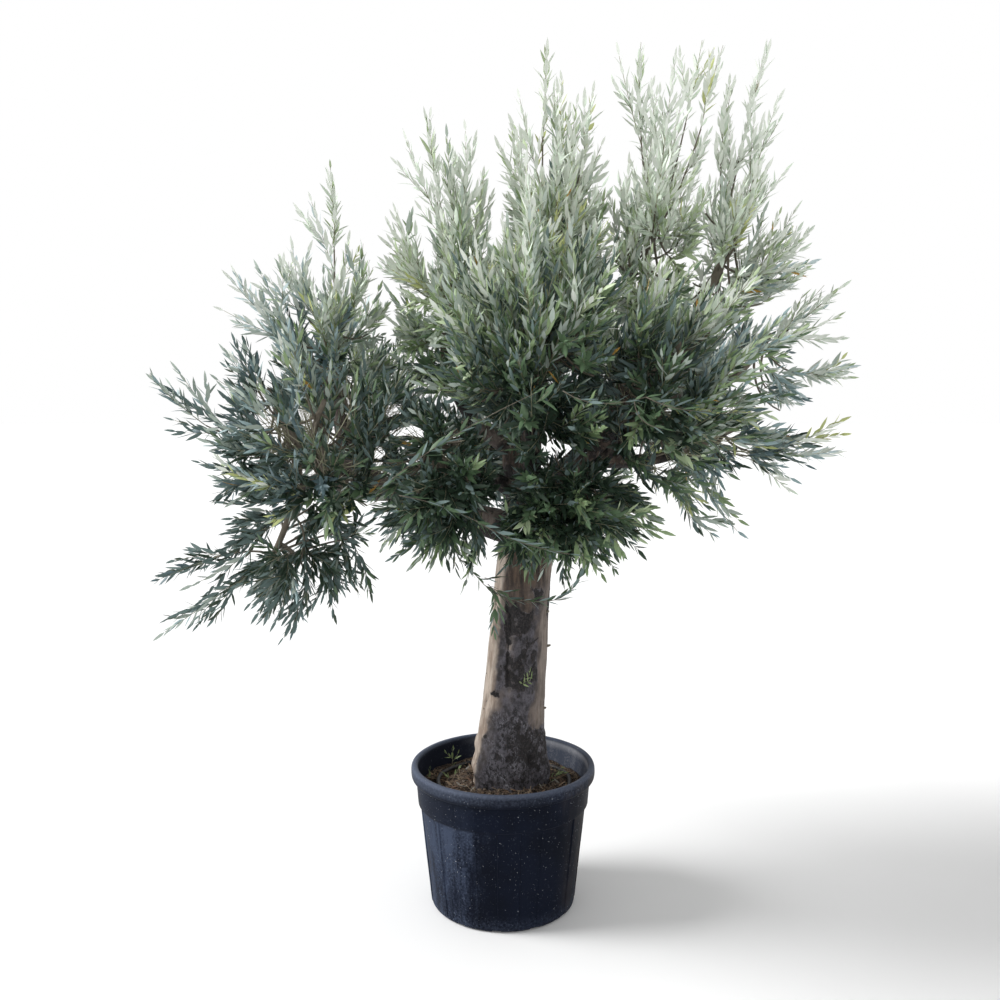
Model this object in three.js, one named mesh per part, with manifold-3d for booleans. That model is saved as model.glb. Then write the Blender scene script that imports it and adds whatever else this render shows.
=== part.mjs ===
// An olive tree in a black nursery pot, in millimetres, Z up.
// The origin is the centre of the pot's flat underside. X runs along the crown's
// longest spread, with the long low bough towards -X, and -Y is the front.
import * as THREE from "three";
import { mergeVertices } from "three/addons/utils/BufferGeometryUtils.js";
import Module from "manifold-3d";

const wasm = await Module();
wasm.setup();

// ---- Driving dimensions ----

const gap = 0.35; // air between two solids that touch on the real tree
const pot = {
  height: 500,
  rimRadius: 325, // outside of the rolled rim
  rimDepth: 46, // height of the roll
  bodyTopRadius: 308, // outside, straight under the roll
  bandBottomRadius: 301,
  bandHeight: 88, // the plain band between the roll and the step
  step: 8,
  footRadius: 257,
  footRound: 18, // the rounded corner where wall meets floor
  wall: 5,
  floor: 6,
  ribDepth: 4, // how far every other upright panel under the band is set in
  drainSlots: 12, // notches cut in the foot's rounded corner
  slotTurn: 0.83, // how far the first is turned from +X, in steps from slot to slot
  slotWidth: 30,
  slotHeight: 5.5,
  sides: 48, // four to a pair of panels
};
const soilTop = 410; // level of the soil, and of the trunk's flat cut
const dripRing = { radius: 236, pipeRadius: 7, sides: 6, steps: 30 };

// The trunk: its centre line leans towards +X, and its radius swells at the root flare.
const trunk = {
  foot: [13, 0, soilTop + gap],
  bend: [43, -4, 896],
  tip: [92, 4, 1390],
  radii: [131, 120, 112, 105, 100, 98, 96, 64], // evenly spaced from foot to tip
  levelled: 12, // the lowest ring is brought down level within this height
  sides: 20,
  rings: 18,
};

// Boughs: each one is a tapering limb from a place on its parent to its tip.
// at: share of the way along the parent; bend: how far its middle is pushed off the straight.
const boughs = [
  { name: "bough_left", on: "trunk", at: 0.93, tip: [-640, -30, 1590],
    bend: [-20, 0, -20], r: [56, 27] },
  { name: "bough_right", on: "trunk", at: 0.88, tip: [620, 10, 2020],
    bend: [-10, 0, -10], r: [64, 26] },
  { name: "bough_centre", on: "trunk", at: 0.95, tip: [80, 40, 2010],
    bend: [-50, 20, 0], r: [54, 24] },
  { name: "bough_back", on: "trunk", at: 0.86, tip: [60, 430, 1720],
    bend: [10, 60, -60], r: [48, 24] },
  { name: "bough_front", on: "trunk", at: 0.87, tip: [90, -410, 1720],
    bend: [0, -60, -60], r: [46, 24] },
  { name: "bough_left_up", on: "bough_left", at: 0.72, tip: [-570, 50, 1790],
    bend: [-40, 10, -20], r: [30, 18] },
  { name: "bough_left_front", on: "bough_left", at: 0.6, tip: [-540, -270, 1510],
    bend: [0, -30, -20], r: [26, 16] },
  { name: "bough_left_back", on: "bough_left", at: 0.64, tip: [-560, 290, 1610],
    bend: [0, 30, -20], r: [26, 16] },
  { name: "bough_left_low", on: "bough_left", at: 0.8, tip: [-720, -60, 1420],
    bend: [-40, 0, 30], r: [22, 14] },
  { name: "bough_centre_left", on: "bough_centre", at: 0.4, tip: [-190, 20, 1880],
    bend: [-30, 0, -30], r: [30, 18] },
  { name: "bough_right_up", on: "bough_right", at: 0.56, tip: [460, 20, 2070],
    bend: [10, 10, -10], r: [32, 18] },
  { name: "bough_right_out", on: "bough_right", at: 0.7, tip: [760, -10, 1830],
    bend: [20, -10, -30], r: [28, 16] },
  { name: "bough_right_low", on: "bough_right", at: 0.42, tip: [620, 10, 1600],
    bend: [20, 10, -20], r: [28, 16] },
  { name: "bough_right_front", on: "bough_front", at: 0.5, tip: [380, -370, 1680],
    bend: [20, -20, -20], r: [26, 16] },
  { name: "bough_right_back", on: "bough_back", at: 0.5, tip: [420, 390, 1760],
    bend: [20, 20, -20], r: [28, 16] },
  { name: "bough_front_low", on: "bough_front", at: 0.42, tip: [230, -330, 1480],
    bend: [10, -20, -10], r: [20, 12] },
  { name: "bough_front_left", on: "bough_front", at: 0.62, tip: [-170, -420, 1620],
    bend: [-20, -20, -10], r: [22, 13] },
  { name: "bough_back_low", on: "bough_back", at: 0.46, tip: [-130, 360, 1560],
    bend: [-10, 20, -10], r: [22, 13] },
];

// Masses of foliage: an egg-shaped space round a centre, which shoots fill as they grow
// along one main direction. leaders are the furthest shoots, which set the crown's outline,
// and fill is the mass's share of twigs.
const masses = [
  { name: "foliage_left_outer", on: "bough_left", centre: [-770, -40, 1680], radii: [230, 330, 350],
    grows: [-0.3, 0, 0.95], fill: 0.65, dense: true,
    leaders: [
      [-1196, -60, 1865], [-960, 80, 1470], [-920, -80, 2020], [-1040, -20, 1560],
      [-930, -100, 1430], [-1000, 40, 1500], [-860, 20, 1400],
    ] },
  { name: "foliage_left_top", on: "bough_left_up", centre: [-600, 40, 1900], radii: [300, 360, 360],
    grows: [-0.1, 0, 1], fill: 0.75, dense: true,
    leaders: [
      [-584, 0, 2565], [-700, 40, 2220], [-470, -40, 2300], [-780, 60, 2280],
      [-600, -260, 2120], [-620, 340, 2200], [-900, -40, 2200],
    ] },
  { name: "foliage_left_front", on: "bough_left_front", centre: [-500, -440, 1660], radii: [340, 320, 290],
    grows: [-0.2, -0.35, 0.9], fill: 0.75, dense: true, leaders: [[-620, -620, 2000], [-300, -420, 1900]] },
  { name: "foliage_left_back", on: "bough_left_back", centre: [-600, 450, 1730], radii: [370, 330, 360],
    grows: [-0.2, 0.35, 0.9], fill: 1, dense: true,
    leaders: [[-700, 600, 2120], [-360, 420, 1980], [-320, 500, 1850]] },
  { name: "foliage_left_low", on: "bough_left_low", centre: [-720, -60, 1230], radii: [300, 320, 240],
    grows: [-0.6, -0.1, -0.35], fill: 0.42,
    leaders: [
      [-1199, -60, 1165], [-1135, -160, 1000], [-749, -100, 970], [-455, -60, 1120],
      [-900, 160, 1040],
    ] },
  { name: "foliage_centre_left", on: "bough_centre_left", centre: [-150, 0, 2040], radii: [290, 360, 460],
    grows: [-0.15, 0, 1], fill: 0.86, dense: true,
    leaders: [
      [-246, -20, 2713], [-129, 60, 2696], [-367, 40, 2417], [-190, 20, 2660],
      [-130, -260, 2400], [-120, 300, 2450], [-360, 0, 2240], [-70, 50, 2520],
      [-300, -100, 2020], [-420, 20, 2000], [-400, -50, 1900],
    ] },
  { name: "foliage_centre_top", on: "bough_centre", centre: [210, 30, 2250], radii: [250, 340, 420],
    grows: [0.05, 0, 1], fill: 1, dense: true,
    leaders: [
      [139, 0, 2960], [241, -60, 2745], [30, 80, 2700], [300, 0, 2800],
      [200, 60, 2860], [170, -300, 2600], [230, 340, 2620],
    ] },
  { name: "foliage_centre_front", on: "bough_front", centre: [100, -530, 1870], radii: [380, 340, 460],
    grows: [0, -0.25, 0.95], fill: 1.3, dense: true, leaders: [[60, -620, 2400]] },
  { name: "foliage_front_left", on: "bough_front_left", centre: [-165, -510, 1560], radii: [310, 320, 290],
    grows: [-0.3, -0.5, 0.5], fill: 0.95, dense: true,
    leaders: [[-430, -760, 1640], [-120, -380, 1200], [-270, -500, 1280]] },
  { name: "foliage_front_low", on: "bough_front_low", centre: [160, -480, 1480], radii: [330, 330, 240],
    grows: [0.3, -0.6, 0.2], fill: 1, dense: true,
    leaders: [[570, -500, 1450], [60, -640, 1360], [300, -400, 1240]] },
  { name: "foliage_centre_back", on: "bough_back", centre: [40, 570, 2000], radii: [400, 360, 470],
    grows: [0, 0.25, 0.95], fill: 1, dense: true, leaders: [[0, 600, 2500]] },
  { name: "foliage_back_low", on: "bough_back_low", centre: [-180, 560, 1570], radii: [410, 330, 280],
    grows: [-0.3, 0.6, 0.4], fill: 1, dense: true, leaders: [[-340, 820, 1480]] },
  { name: "foliage_right_top", on: "bough_right_up", centre: [530, 30, 2280], radii: [260, 340, 420],
    grows: [0.12, 0, 1], fill: 0.72, dense: true,
    leaders: [
      [457, -20, 2960], [670, 30, 2985], [560, -80, 2880], [730, -20, 2950],
      [500, -280, 2600], [550, 320, 2660],
    ] },
  { name: "foliage_right_crest", on: "bough_right", centre: [780, 20, 2240], radii: [230, 330, 390],
    grows: [0.25, 0, 0.95], fill: 0.6, dense: true,
    leaders: [
      [874, 0, 2935], [938, 60, 2794], [1030, -20, 2340], [760, 0, 2850],
      [780, 300, 2550], [880, -50, 2540],
    ] },
  { name: "foliage_right_outer", on: "bough_right_out", centre: [840, 0, 1930], radii: [240, 360, 270],
    grows: [0.75, 0, 0.6], fill: 0.27,
    leaders: [[1135, -40, 2150], [1225, 20, 1890], [1160, 80, 1740], [1050, 100, 2020]] },
  { name: "foliage_right_low", on: "bough_right_low", centre: [670, 0, 1660], radii: [360, 370, 180],
    grows: [0.9, 0, 0.3], fill: 0.6, dense: true,
    leaders: [
      [1190, 0, 1600], [740, -40, 1300], [1120, -120, 1660], [620, -100, 1420],
      [660, 20, 1390], [550, 100, 1440],
    ] },
  { name: "foliage_right_front", on: "bough_right_front", centre: [460, -520, 1800], radii: [310, 330, 370],
    grows: [0.3, -0.35, 0.8], fill: 1, dense: true, leaders: [[680, -660, 2100]] },
  { name: "foliage_right_back", on: "bough_right_back", centre: [560, 530, 1870], radii: [410, 370, 440],
    grows: [0.35, 0.35, 0.85], fill: 1, dense: true, leaders: [[780, 680, 2220], [920, 560, 1660]] },
];

// The rule by which every mass grows.
const growth = {
  coreShare: 0.64, // of the egg's radii, in a dense mass
  stemSides: 5,
  stemEndRadius: 8,
  twigs: 16, // the leaders among them, where fill is 1
  spread: 1.8, // how far round the egg the twigs point: 1 for its front half, 2 for all of it
  reach: [0.6, 1], // how far out of the egg they point
  twigRadius: 5,
  twigTipRadius: 2.6,
  sag: 0.2, // how far a twig's middle hangs back from the growing direction
  sprays: 2, // on each twig, one of them on its tip
  sprayLength: 310,
  sprayWidth: 0.36, // share of the length
  sprayThickness: 0.03,
  sprayLean: 0.5, // how far a spray turns off its twig
  upturn: 0.8, // how far a spray turns to the growing direction
  widest: 0.42, // share of a spray's length from its root to its widest place
  sunk: 0.02, // share of a spray that lies in its twig
  edge: 1.03, // how far out of the egg a spray may stand, unless its twig aims further
  spaceMargin: 0.03,
  limbClearance: 9,
  limbStep: 25, // limbs are looked at in steps this long
};

// ---- Small helpers ----

const vec = (p) => new THREE.Vector3(p[0], p[1], p[2]);
const mix = (a, b, t) => a + (b - a) * t;
const fraction = (x) => x - Math.floor(x);
// A repeatable number from 0 to 1 for three whole numbers.
const chance = (a, b, c) => fraction(Math.sin(a * 12.9898 + b * 78.233 + c * 37.719) * 43758.5453);

// A row of values read at t from 0 to 1.
function valueAlong(values, t) {
  const place = t * (values.length - 1);
  const i = Math.min(Math.floor(place), values.length - 2);
  return mix(values[i], values[i + 1], place - i);
}

// Any unit vector square to the given one.
function squareTo(v) {
  const helper = Math.abs(v.z) < 0.9 ? new THREE.Vector3(0, 0, 1) : new THREE.Vector3(1, 0, 0);
  return helper.cross(v).normalize();
}

// ---- Solids ----

function solidOf(geometry) {
  const bare = geometry.clone();
  bare.deleteAttribute("normal");
  bare.deleteAttribute("uv");
  const merged = mergeVertices(bare, 1e-4);
  return new wasm.Manifold(
    new wasm.Mesh({
      numProp: 3,
      vertProperties: merged.attributes.position.array,
      triVerts: new Uint32Array(merged.index.array),
    }),
  );
}

function largestPiece(solid) {
  const pieces = solid.decompose();
  return pieces.reduce((best, piece) => (piece.volume() > best.volume() ? piece : best));
}

function geometryOf(solid) {
  const mesh = solid.getMesh();
  return new THREE.BufferGeometry()
    .setAttribute("position", new THREE.BufferAttribute(mesh.vertProperties, 3))
    .setIndex(new THREE.BufferAttribute(mesh.triVerts, 1));
}

// Joins many solids by halves.
function joined(solids) {
  if (solids.length === 1) return solids[0];
  const half = Math.floor(solids.length / 2);
  return joined(solids.slice(0, half)).add(joined(solids.slice(half)));
}

// A cylinder bent along a curve. radiusAt(t, angle) is its radius, and extra widens and
// lengthens it all round.
function bentCylinder(curve, radiusAt, sides, rings, extra = 0) {
  const geometry = new THREE.CylinderGeometry(1, 1, 1, sides, rings);
  const places = geometry.attributes.position;
  const start = curve.getPoint(0);
  const chord = curve.getPoint(1).sub(start);
  const bow = curve.getPoint(0.5).sub(start).sub(chord.clone().multiplyScalar(0.5));
  let across = chord.clone().cross(bow);
  if (across.length() < 1e-3 * chord.lengthSq()) across = squareTo(chord.clone().normalize());
  across.normalize();
  for (let i = 0; i < places.count; i++) {
    const t = places.getY(i) + 0.5;
    const tangent = curve.getTangent(t);
    const side = across.clone().cross(tangent).normalize();
    const angle = Math.atan2(places.getZ(i), places.getX(i));
    const onAxis = Math.hypot(places.getX(i), places.getZ(i)) < 0.5;
    const radius = onAxis ? 0 : radiusAt(t, angle) + extra;
    const point = curve.getPoint(t);
    if (t === 0) point.addScaledVector(tangent, -extra);
    if (t === 1) point.addScaledVector(tangent, extra);
    point.addScaledVector(side, radius * Math.cos(angle));
    point.addScaledVector(across, -radius * Math.sin(angle));
    places.setXYZ(i, point.x, point.y, point.z);
  }
  return geometry;
}

// ---- Pot, soil and drip ring ----

const bandFoot = pot.height - pot.rimDepth - pot.bandHeight;
const panelTop = { radius: pot.bandBottomRadius - pot.step, height: bandFoot - pot.step };
const innerFoot = { radius: pot.footRadius - pot.wall - pot.ribDepth, height: pot.floor + 10 };

// The wall's inside, straight from the floor to the step.
function innerRadiusAt(height) {
  const top = panelTop.radius - pot.wall - pot.ribDepth;
  return mix(innerFoot.radius, top, (height - innerFoot.height) / (panelTop.height - innerFoot.height));
}

function potProfile() {
  const rollMiddle = pot.rimRadius - 12;
  const rollFoot = pot.height - pot.rimDepth;
  const profile = [
    [0, 0],
    [pot.footRadius - pot.footRound, 0],
    [pot.footRadius - pot.footRound * 0.3, pot.footRound * 0.3],
    [pot.footRadius, pot.footRound],
    [panelTop.radius, panelTop.height],
    [pot.bandBottomRadius, bandFoot],
    [pot.bodyTopRadius, rollFoot],
    [pot.rimRadius - 6, rollFoot - 2],
    [pot.rimRadius, rollFoot + 8],
    [pot.rimRadius, pot.height - pot.rimDepth / 2],
    [rollMiddle + 4, pot.height - 1],
    [rollMiddle - 5, pot.height],
    [rollMiddle - 13, pot.height - 14],
    [innerRadiusAt(panelTop.height), panelTop.height],
    [innerFoot.radius, innerFoot.height],
    [innerFoot.radius - 10, pot.floor],
    [0, pot.floor],
  ];
  return profile.map(([r, z]) => new THREE.Vector2(r, z));
}

function makePot() {
  const geometry = new THREE.LatheGeometry(potProfile(), pot.sides);
  const places = geometry.attributes.position;
  for (let i = 0; i < places.count; i++) {
    const [x, height, z] = [places.getX(i), places.getY(i), places.getZ(i)];
    const radius = Math.hypot(x, z);
    const onFoot = radius > pot.footRadius - 1 && Math.abs(height - pot.footRound) < 1;
    const onStep = radius > panelTop.radius - 1 && Math.abs(height - panelTop.height) < 1;
    const turn = Math.round((Math.atan2(z, x) / (2 * Math.PI)) * pot.sides + pot.sides);
    // Two corners stand proud and the next two are set in, all round.
    const setIn = (onFoot || onStep) && (turn + 3) % 4 < 2;
    const scale = setIn ? (radius - pot.ribDepth) / radius : 1;
    places.setXYZ(i, x * scale, height, z * scale);
  }
  geometry.rotateX(Math.PI / 2);
  const slots = [];
  for (let i = 0; i < pot.drainSlots; i++) {
    const slot = new THREE.BoxGeometry(2 * pot.footRound, pot.slotWidth, 2 * pot.slotHeight);
    slot.translate(pot.footRadius, 0, 0);
    slot.rotateZ(((i + pot.slotTurn) * 2 * Math.PI) / pot.drainSlots);
    slots.push(solidOf(slot));
  }
  return largestPiece(solidOf(geometry).subtract(joined(slots)));
}

function makeSoil() {
  const profile = [
    [0, pot.floor + gap],
    [innerFoot.radius - 11, pot.floor + gap],
    [innerFoot.radius - 1, innerFoot.height],
    [innerRadiusAt(soilTop) - 1, soilTop],
    [0, soilTop],
  ].map(([r, z]) => new THREE.Vector2(r, z));
  const geometry = new THREE.LatheGeometry(profile, pot.sides);
  geometry.rotateX(Math.PI / 2);
  return solidOf(geometry);
}

function makeDripRing() {
  const { radius, pipeRadius, sides, steps } = dripRing;
  const geometry = new THREE.TorusGeometry(radius, pipeRadius, sides, steps);
  geometry.translate(0, 0, soilTop + gap + pipeRadius * Math.cos(Math.PI / sides));
  return solidOf(geometry);
}

// ---- Limbs ----

const curveOf = (a, b, c) => new THREE.QuadraticBezierCurve3(a, b, c);

const limbs = {};
const wider = {}; // each limb's solid, wider by the gap

function addLimb(name, curve, radiusAt, sides, rings) {
  limbs[name] = { curve, radiusAt };
  wider[name] = solidOf(bentCylinder(curve, radiusAt, sides, rings, gap));
  return solidOf(bentCylinder(curve, radiusAt, sides, rings));
}

// The trunk's radius: swollen lobes run out into the root flare, and long flutes run up it.
function trunkRadius(t, angle) {
  const radius = valueAlong(trunk.radii, t);
  const flare = Math.pow(Math.max(0, 1 - t * 3), 2);
  const lobes = 1 + 0.09 * flare * Math.cos(5 * angle + 0.6) + 0.05 * flare * Math.cos(3 * angle + 2);
  const flutes = 1 + 0.035 * Math.cos(2 * angle + 0.5 + t) + 0.025 * Math.cos(5 * angle + 1.3 + 2 * t);
  return radius * lobes * flutes;
}

function makeTrunk() {
  const curve = curveOf(vec(trunk.foot), vec(trunk.bend), vec(trunk.tip));
  const geometry = bentCylinder(curve, trunkRadius, trunk.sides, trunk.rings);
  const broad = bentCylinder(curve, trunkRadius, trunk.sides, trunk.rings, gap);
  limbs.trunk = { curve, radiusAt: (t) => valueAlong(trunk.radii, t) * 1.08 };
  // The cut at the soil is level, whatever the lean.
  const places = geometry.attributes.position;
  for (let i = 0; i < places.count; i++)
    if (places.getZ(i) < trunk.foot[2] + trunk.levelled) places.setZ(i, trunk.foot[2]);
  wider.trunk = solidOf(broad);
  return solidOf(geometry);
}

function makeBough(bough) {
  const parent = limbs[bough.on];
  const start = parent.curve.getPoint(bough.at);
  const tip = vec(bough.tip);
  const middle = start.clone().lerp(tip, 0.5).add(vec(bough.bend));
  const control = middle.multiplyScalar(2).sub(start.clone().add(tip).multiplyScalar(0.5));
  const [thick, thin] = bough.r;
  const swell = (t) => 1 + 0.28 * Math.pow(Math.max(0, 1 - t / 0.3), 2);
  const radiusAt = (t) => mix(thick, thin, Math.pow(t, 0.8)) * swell(t);
  const sides = thick > 40 ? 9 : 6;
  const rings = thick > 40 ? 6 : 4;
  let solid = addLimb(bough.name, curveOf(start, control, tip), radiusAt, sides, rings);
  for (const name of Object.keys(limbs)) {
    if (name !== bough.name) solid = solid.subtract(wider[name]);
  }
  return largestPiece(solid);
}

// ---- Foliage ----

// 0 at a mass's centre, 1 at the edge of its space.
function outness(mass, p) {
  const [cx, cy, cz] = mass.centre;
  const [rx, ry, rz] = mass.radii;
  return Math.hypot((p.x - cx) / rx, (p.y - cy) / ry, (p.z - cz) / rz);
}

function inOwnSpace(mass, p) {
  const own = outness(mass, p);
  return masses.every((other) => other === mass || own < outness(other, p) - growth.spaceMargin);
}

const limbSamples = [];
function sampleLimbs() {
  for (const { curve, radiusAt } of Object.values(limbs)) {
    const steps = Math.ceil(curve.getLength() / growth.limbStep);
    for (let i = 0; i <= steps; i++)
      limbSamples.push({ point: curve.getPoint(i / steps), radius: radiusAt(i / steps) });
  }
}

function clearOfLimbs(p) {
  return limbSamples.every(({ point, radius }) => point.distanceTo(p) > radius + growth.limbClearance);
}

const free = (mass, p) => inOwnSpace(mass, p) && clearOfLimbs(p);

// A twig's curve from its place on the stem, with its middle sagging back from the growing
// direction. It stops a spray short of its target, or where it would leave the mass's space.
function twigCurve(mass, start, target) {
  const reach = target.clone().sub(start);
  const last = Math.min(growth.sprayLength, 0.6 * reach.length());
  const heading = reach.clone().normalize().addScaledVector(mass.way, growth.upturn).normalize();
  const aim = target.clone().addScaledVector(heading, -0.9 * last);
  const middle = start.clone().lerp(aim, 0.5).addScaledVector(mass.way, -growth.sag * reach.length());
  const whole = curveOf(start, middle, aim);
  const steps = 20;
  let end = 0;
  for (let i = steps * 0.3; i <= steps; i++) {
    if (!free(mass, whole.getPoint(i / steps))) break;
    end = i;
  }
  if (end < steps * 0.5) return null;
  const t = end / steps;
  return curveOf(start, start.clone().lerp(middle, t), whole.getPoint(t));
}

// Where the i-th twig of a mass aims: points spread evenly over the egg, fewer behind.
function twigTarget(mass, i) {
  const along = 1 - growth.spread * fraction((i + 0.5) * 0.7548777);
  const turn = 2 * Math.PI * fraction(i * 0.5698403 + mass.index * 0.37);
  const round = Math.sqrt(Math.max(0, 1 - along * along));
  const direction = mass.way.clone().multiplyScalar(along);
  direction.addScaledVector(mass.side, round * Math.cos(turn));
  direction.addScaledVector(mass.other, round * Math.sin(turn));
  const reach = mix(...growth.reach, Math.pow(chance(mass.index, i, 3), 0.6));
  return vec(mass.centre).add(direction.multiply(vec(mass.radii)).multiplyScalar(reach));
}

// The j-th spray of a twig: where it stands, which way it points and how long it is.
// The one on the twig's tip points at the twig's target.
function sprayOf(mass, curve, target, i, j) {
  const t = j === 0 ? 1 : 0.3 + 0.6 * fraction(j * 0.618034 + chance(mass.index, i, 5));
  const root = curve.getPoint(t);
  const turn = 2.399963 * (j + 3 * i);
  if (j === 0) {
    const rest = target.clone().sub(root);
    const length = Math.min(rest.length(), growth.sprayLength);
    return { root, direction: rest.normalize(), length, turn };
  }
  const direction = curve.getTangent(t);
  const side = squareTo(direction);
  const other = direction.clone().cross(side);
  direction.addScaledVector(side, growth.sprayLean * Math.cos(turn));
  direction.addScaledVector(other, growth.sprayLean * Math.sin(turn));
  direction.addScaledVector(mass.way, growth.upturn).normalize();
  const length = growth.sprayLength * (0.7 + 0.4 * chance(mass.index, i, 11 + j));
  return { root, direction, length, turn };
}

// A spray's blade is a long flat diamond with a low ridge, widest before its middle.
const bladeSection = [
  [-1, -0.4],
  [1, -0.4],
  [0, 0.6],
];

function sectionPoint(middle, flat, up, k, halfWidth, thickness) {
  const [x, y] = bladeSection[k];
  return middle.clone().addScaledVector(flat, x * halfWidth).addScaledVector(up, y * thickness);
}

function pointedSolid(points, index) {
  const geometry = new THREE.BufferGeometry().setFromPoints(points).setIndex(index);
  return solidOf(geometry);
}

function sprayBlade({ root, direction, length, turn }) {
  const flat = squareTo(direction).applyAxisAngle(direction, turn);
  const up = direction.clone().cross(flat);
  const middle = root.clone().addScaledVector(direction, growth.widest * length);
  const half = (length * growth.sprayWidth) / 2;
  const ring = [0, 1, 2].map((k) => sectionPoint(middle, flat, up, k, half, length * growth.sprayThickness));
  const points = [root.clone().addScaledVector(direction, -growth.sunk * length), ...ring];
  points.push(root.clone().addScaledVector(direction, length));
  return pointedSolid(points, [0, 2, 1, 0, 3, 2, 0, 1, 3, 4, 1, 2, 4, 2, 3, 4, 3, 1]);
}

// A twig is three-sided, and runs on without a joint into the spray on its tip.
function twigSolid(curve, { root, direction, length, turn }, hasTip) {
  const flat = squareTo(direction).applyAxisAngle(direction, turn);
  const up = direction.clone().cross(flat);
  const rings = [0, 0.5, 1].map((t) => {
    const radius = mix(growth.twigRadius, growth.twigTipRadius, t);
    return { middle: curve.getPoint(t), half: radius, thickness: 2 * radius };
  });
  if (hasTip) {
    const middle = root.clone().addScaledVector(direction, growth.widest * length);
    const half = (length * growth.sprayWidth) / 2;
    rings.push({ middle, half, thickness: length * growth.sprayThickness });
  }
  const points = [];
  for (const { middle, half, thickness } of rings)
    for (const k of [0, 1, 2]) points.push(sectionPoint(middle, flat, up, k, half, thickness));
  const end = hasTip ? root.clone().addScaledVector(direction, length) : curve.getPoint(1);
  points.push(end);
  const last = points.length - 1;
  const index = [0, 2, 1];
  for (let i = 0; i < rings.length - 1; i++) {
    for (const [a, b] of [[0, 1], [1, 2], [2, 0]]) {
      const [p, q] = [3 * i + a, 3 * i + b];
      index.push(p, q, p + 3, q, q + 3, p + 3);
    }
  }
  const top = last - 3;
  index.push(top, top + 1, last, top + 1, top + 2, last, top + 2, top, last);
  return pointedSolid(points, index);
}

// A spray grows only where its tip, its sides and its middle have room.
function sprayFits(mass, { root, direction, length, turn }, target) {
  const flat = squareTo(direction).applyAxisAngle(direction, turn);
  const half = (length * growth.sprayWidth) / 2;
  const middle = root.clone().addScaledVector(direction, growth.widest * length);
  const tip = root.clone().addScaledVector(direction, length);
  const spots = [
    tip,
    middle.clone().lerp(tip, 0.5),
    middle.clone().addScaledVector(flat, half),
    middle.clone().addScaledVector(flat, -half),
  ];
  const limit = Math.max(growth.edge, 1.001 * outness(mass, target));
  return outness(mass, tip) < limit && spots.every((p) => free(mass, p));
}

// The dark heart of a dense mass, where its twigs and inner leaves close up. Its corners stand
// unevenly far out, and are drawn back into the mass's own space.
function coreSolid(mass) {
  const ball = new THREE.IcosahedronGeometry(1, 1).deleteAttribute("normal").deleteAttribute("uv");
  const core = mergeVertices(ball);
  const places = core.attributes.position;
  for (let i = 0; i < places.count; i++) {
    const offset = new THREE.Vector3().fromBufferAttribute(places, i).multiply(vec(mass.radii));
    offset.multiplyScalar(growth.coreShare * mix(0.8, 1.2, chance(mass.index, i, 21)));
    while (!inOwnSpace(mass, vec(mass.centre).add(offset))) offset.multiplyScalar(0.9);
    const corner = vec(mass.centre).add(offset);
    places.setXYZ(i, corner.x, corner.y, corner.z);
  }
  return largestPiece(solidOf(core).subtract(joined(Object.values(wider))));
}

function makeMass(mass) {
  const bough = limbs[mass.on];
  const way = bough.curve.getTangent(1);
  const start = bough.curve.getPoint(1).addScaledVector(way, gap);
  const end = vec(mass.centre).add(mass.way.clone().multiply(vec(mass.radii)).multiplyScalar(0.4));
  const bend = start.clone().addScaledVector(way, 0.45 * start.distanceTo(end));
  const stem = curveOf(start, bend, end);
  const stemRadius = bough.radiusAt(1) * 0.9;
  const stemAt = (t) => mix(stemRadius, growth.stemEndRadius, t);
  const pieces = [solidOf(bentCylinder(stem, stemAt, growth.stemSides, 3))];
  if (mass.dense) pieces.push(coreSolid(mass));
  const targets = mass.leaders.map(vec);
  const twigs = Math.round(growth.twigs * mass.fill);
  for (let i = targets.length; i < twigs; i++) targets.push(twigTarget(mass, i));
  targets.forEach((target, i) => {
    const leads = i < mass.leaders.length;
    const s = leads ? 0.5 + 0.4 * chance(mass.index, i, 7) : 0.1 + 0.85 * fraction(i * 0.618034);
    const twig = twigCurve(mass, stem.getPoint(s), target);
    if (!twig) return;
    const last = sprayOf(mass, twig, target, i, 0);
    pieces.push(twigSolid(twig, last, sprayFits(mass, last, target)));
    for (let j = 1; j < growth.sprays; j++) {
      const spray = sprayOf(mass, twig, target, i, j);
      if (sprayFits(mass, spray, target)) pieces.push(sprayBlade(spray));
    }
  });
  return largestPiece(joined(pieces));
}

// ---- The whole tree ----

const material = (color, roughness) =>
  new THREE.MeshStandardMaterial({ color, roughness, metalness: 0, side: THREE.DoubleSide });
const plastic = material(0x232a38, 0.6);
const earth = material(0x3a2c22, 1);
const bark = material(0x7d6a58, 0.9);
const pipe = material(0x1d2025, 0.5);
const leafage = material(0x6f8266, 0.6);

const tree = new THREE.Group();

function place(name, solid, look) {
  const mesh = new THREE.Mesh(geometryOf(solid), look);
  mesh.name = name;
  tree.add(mesh);
}

masses.forEach((mass, index) => {
  mass.index = index;
  mass.way = vec(mass.grows).normalize();
  mass.side = squareTo(mass.way);
  mass.other = mass.way.clone().cross(mass.side);
});

place("pot", makePot(), plastic);
place("soil", makeSoil(), earth);
place("drip_ring", makeDripRing(), pipe);
place("trunk", makeTrunk(), bark);
for (const bough of boughs) place(bough.name, makeBough(bough), bark);
sampleLimbs();
for (const mass of masses) place(mass.name, makeMass(mass), leafage);

export default tree;
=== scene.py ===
import math

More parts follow.
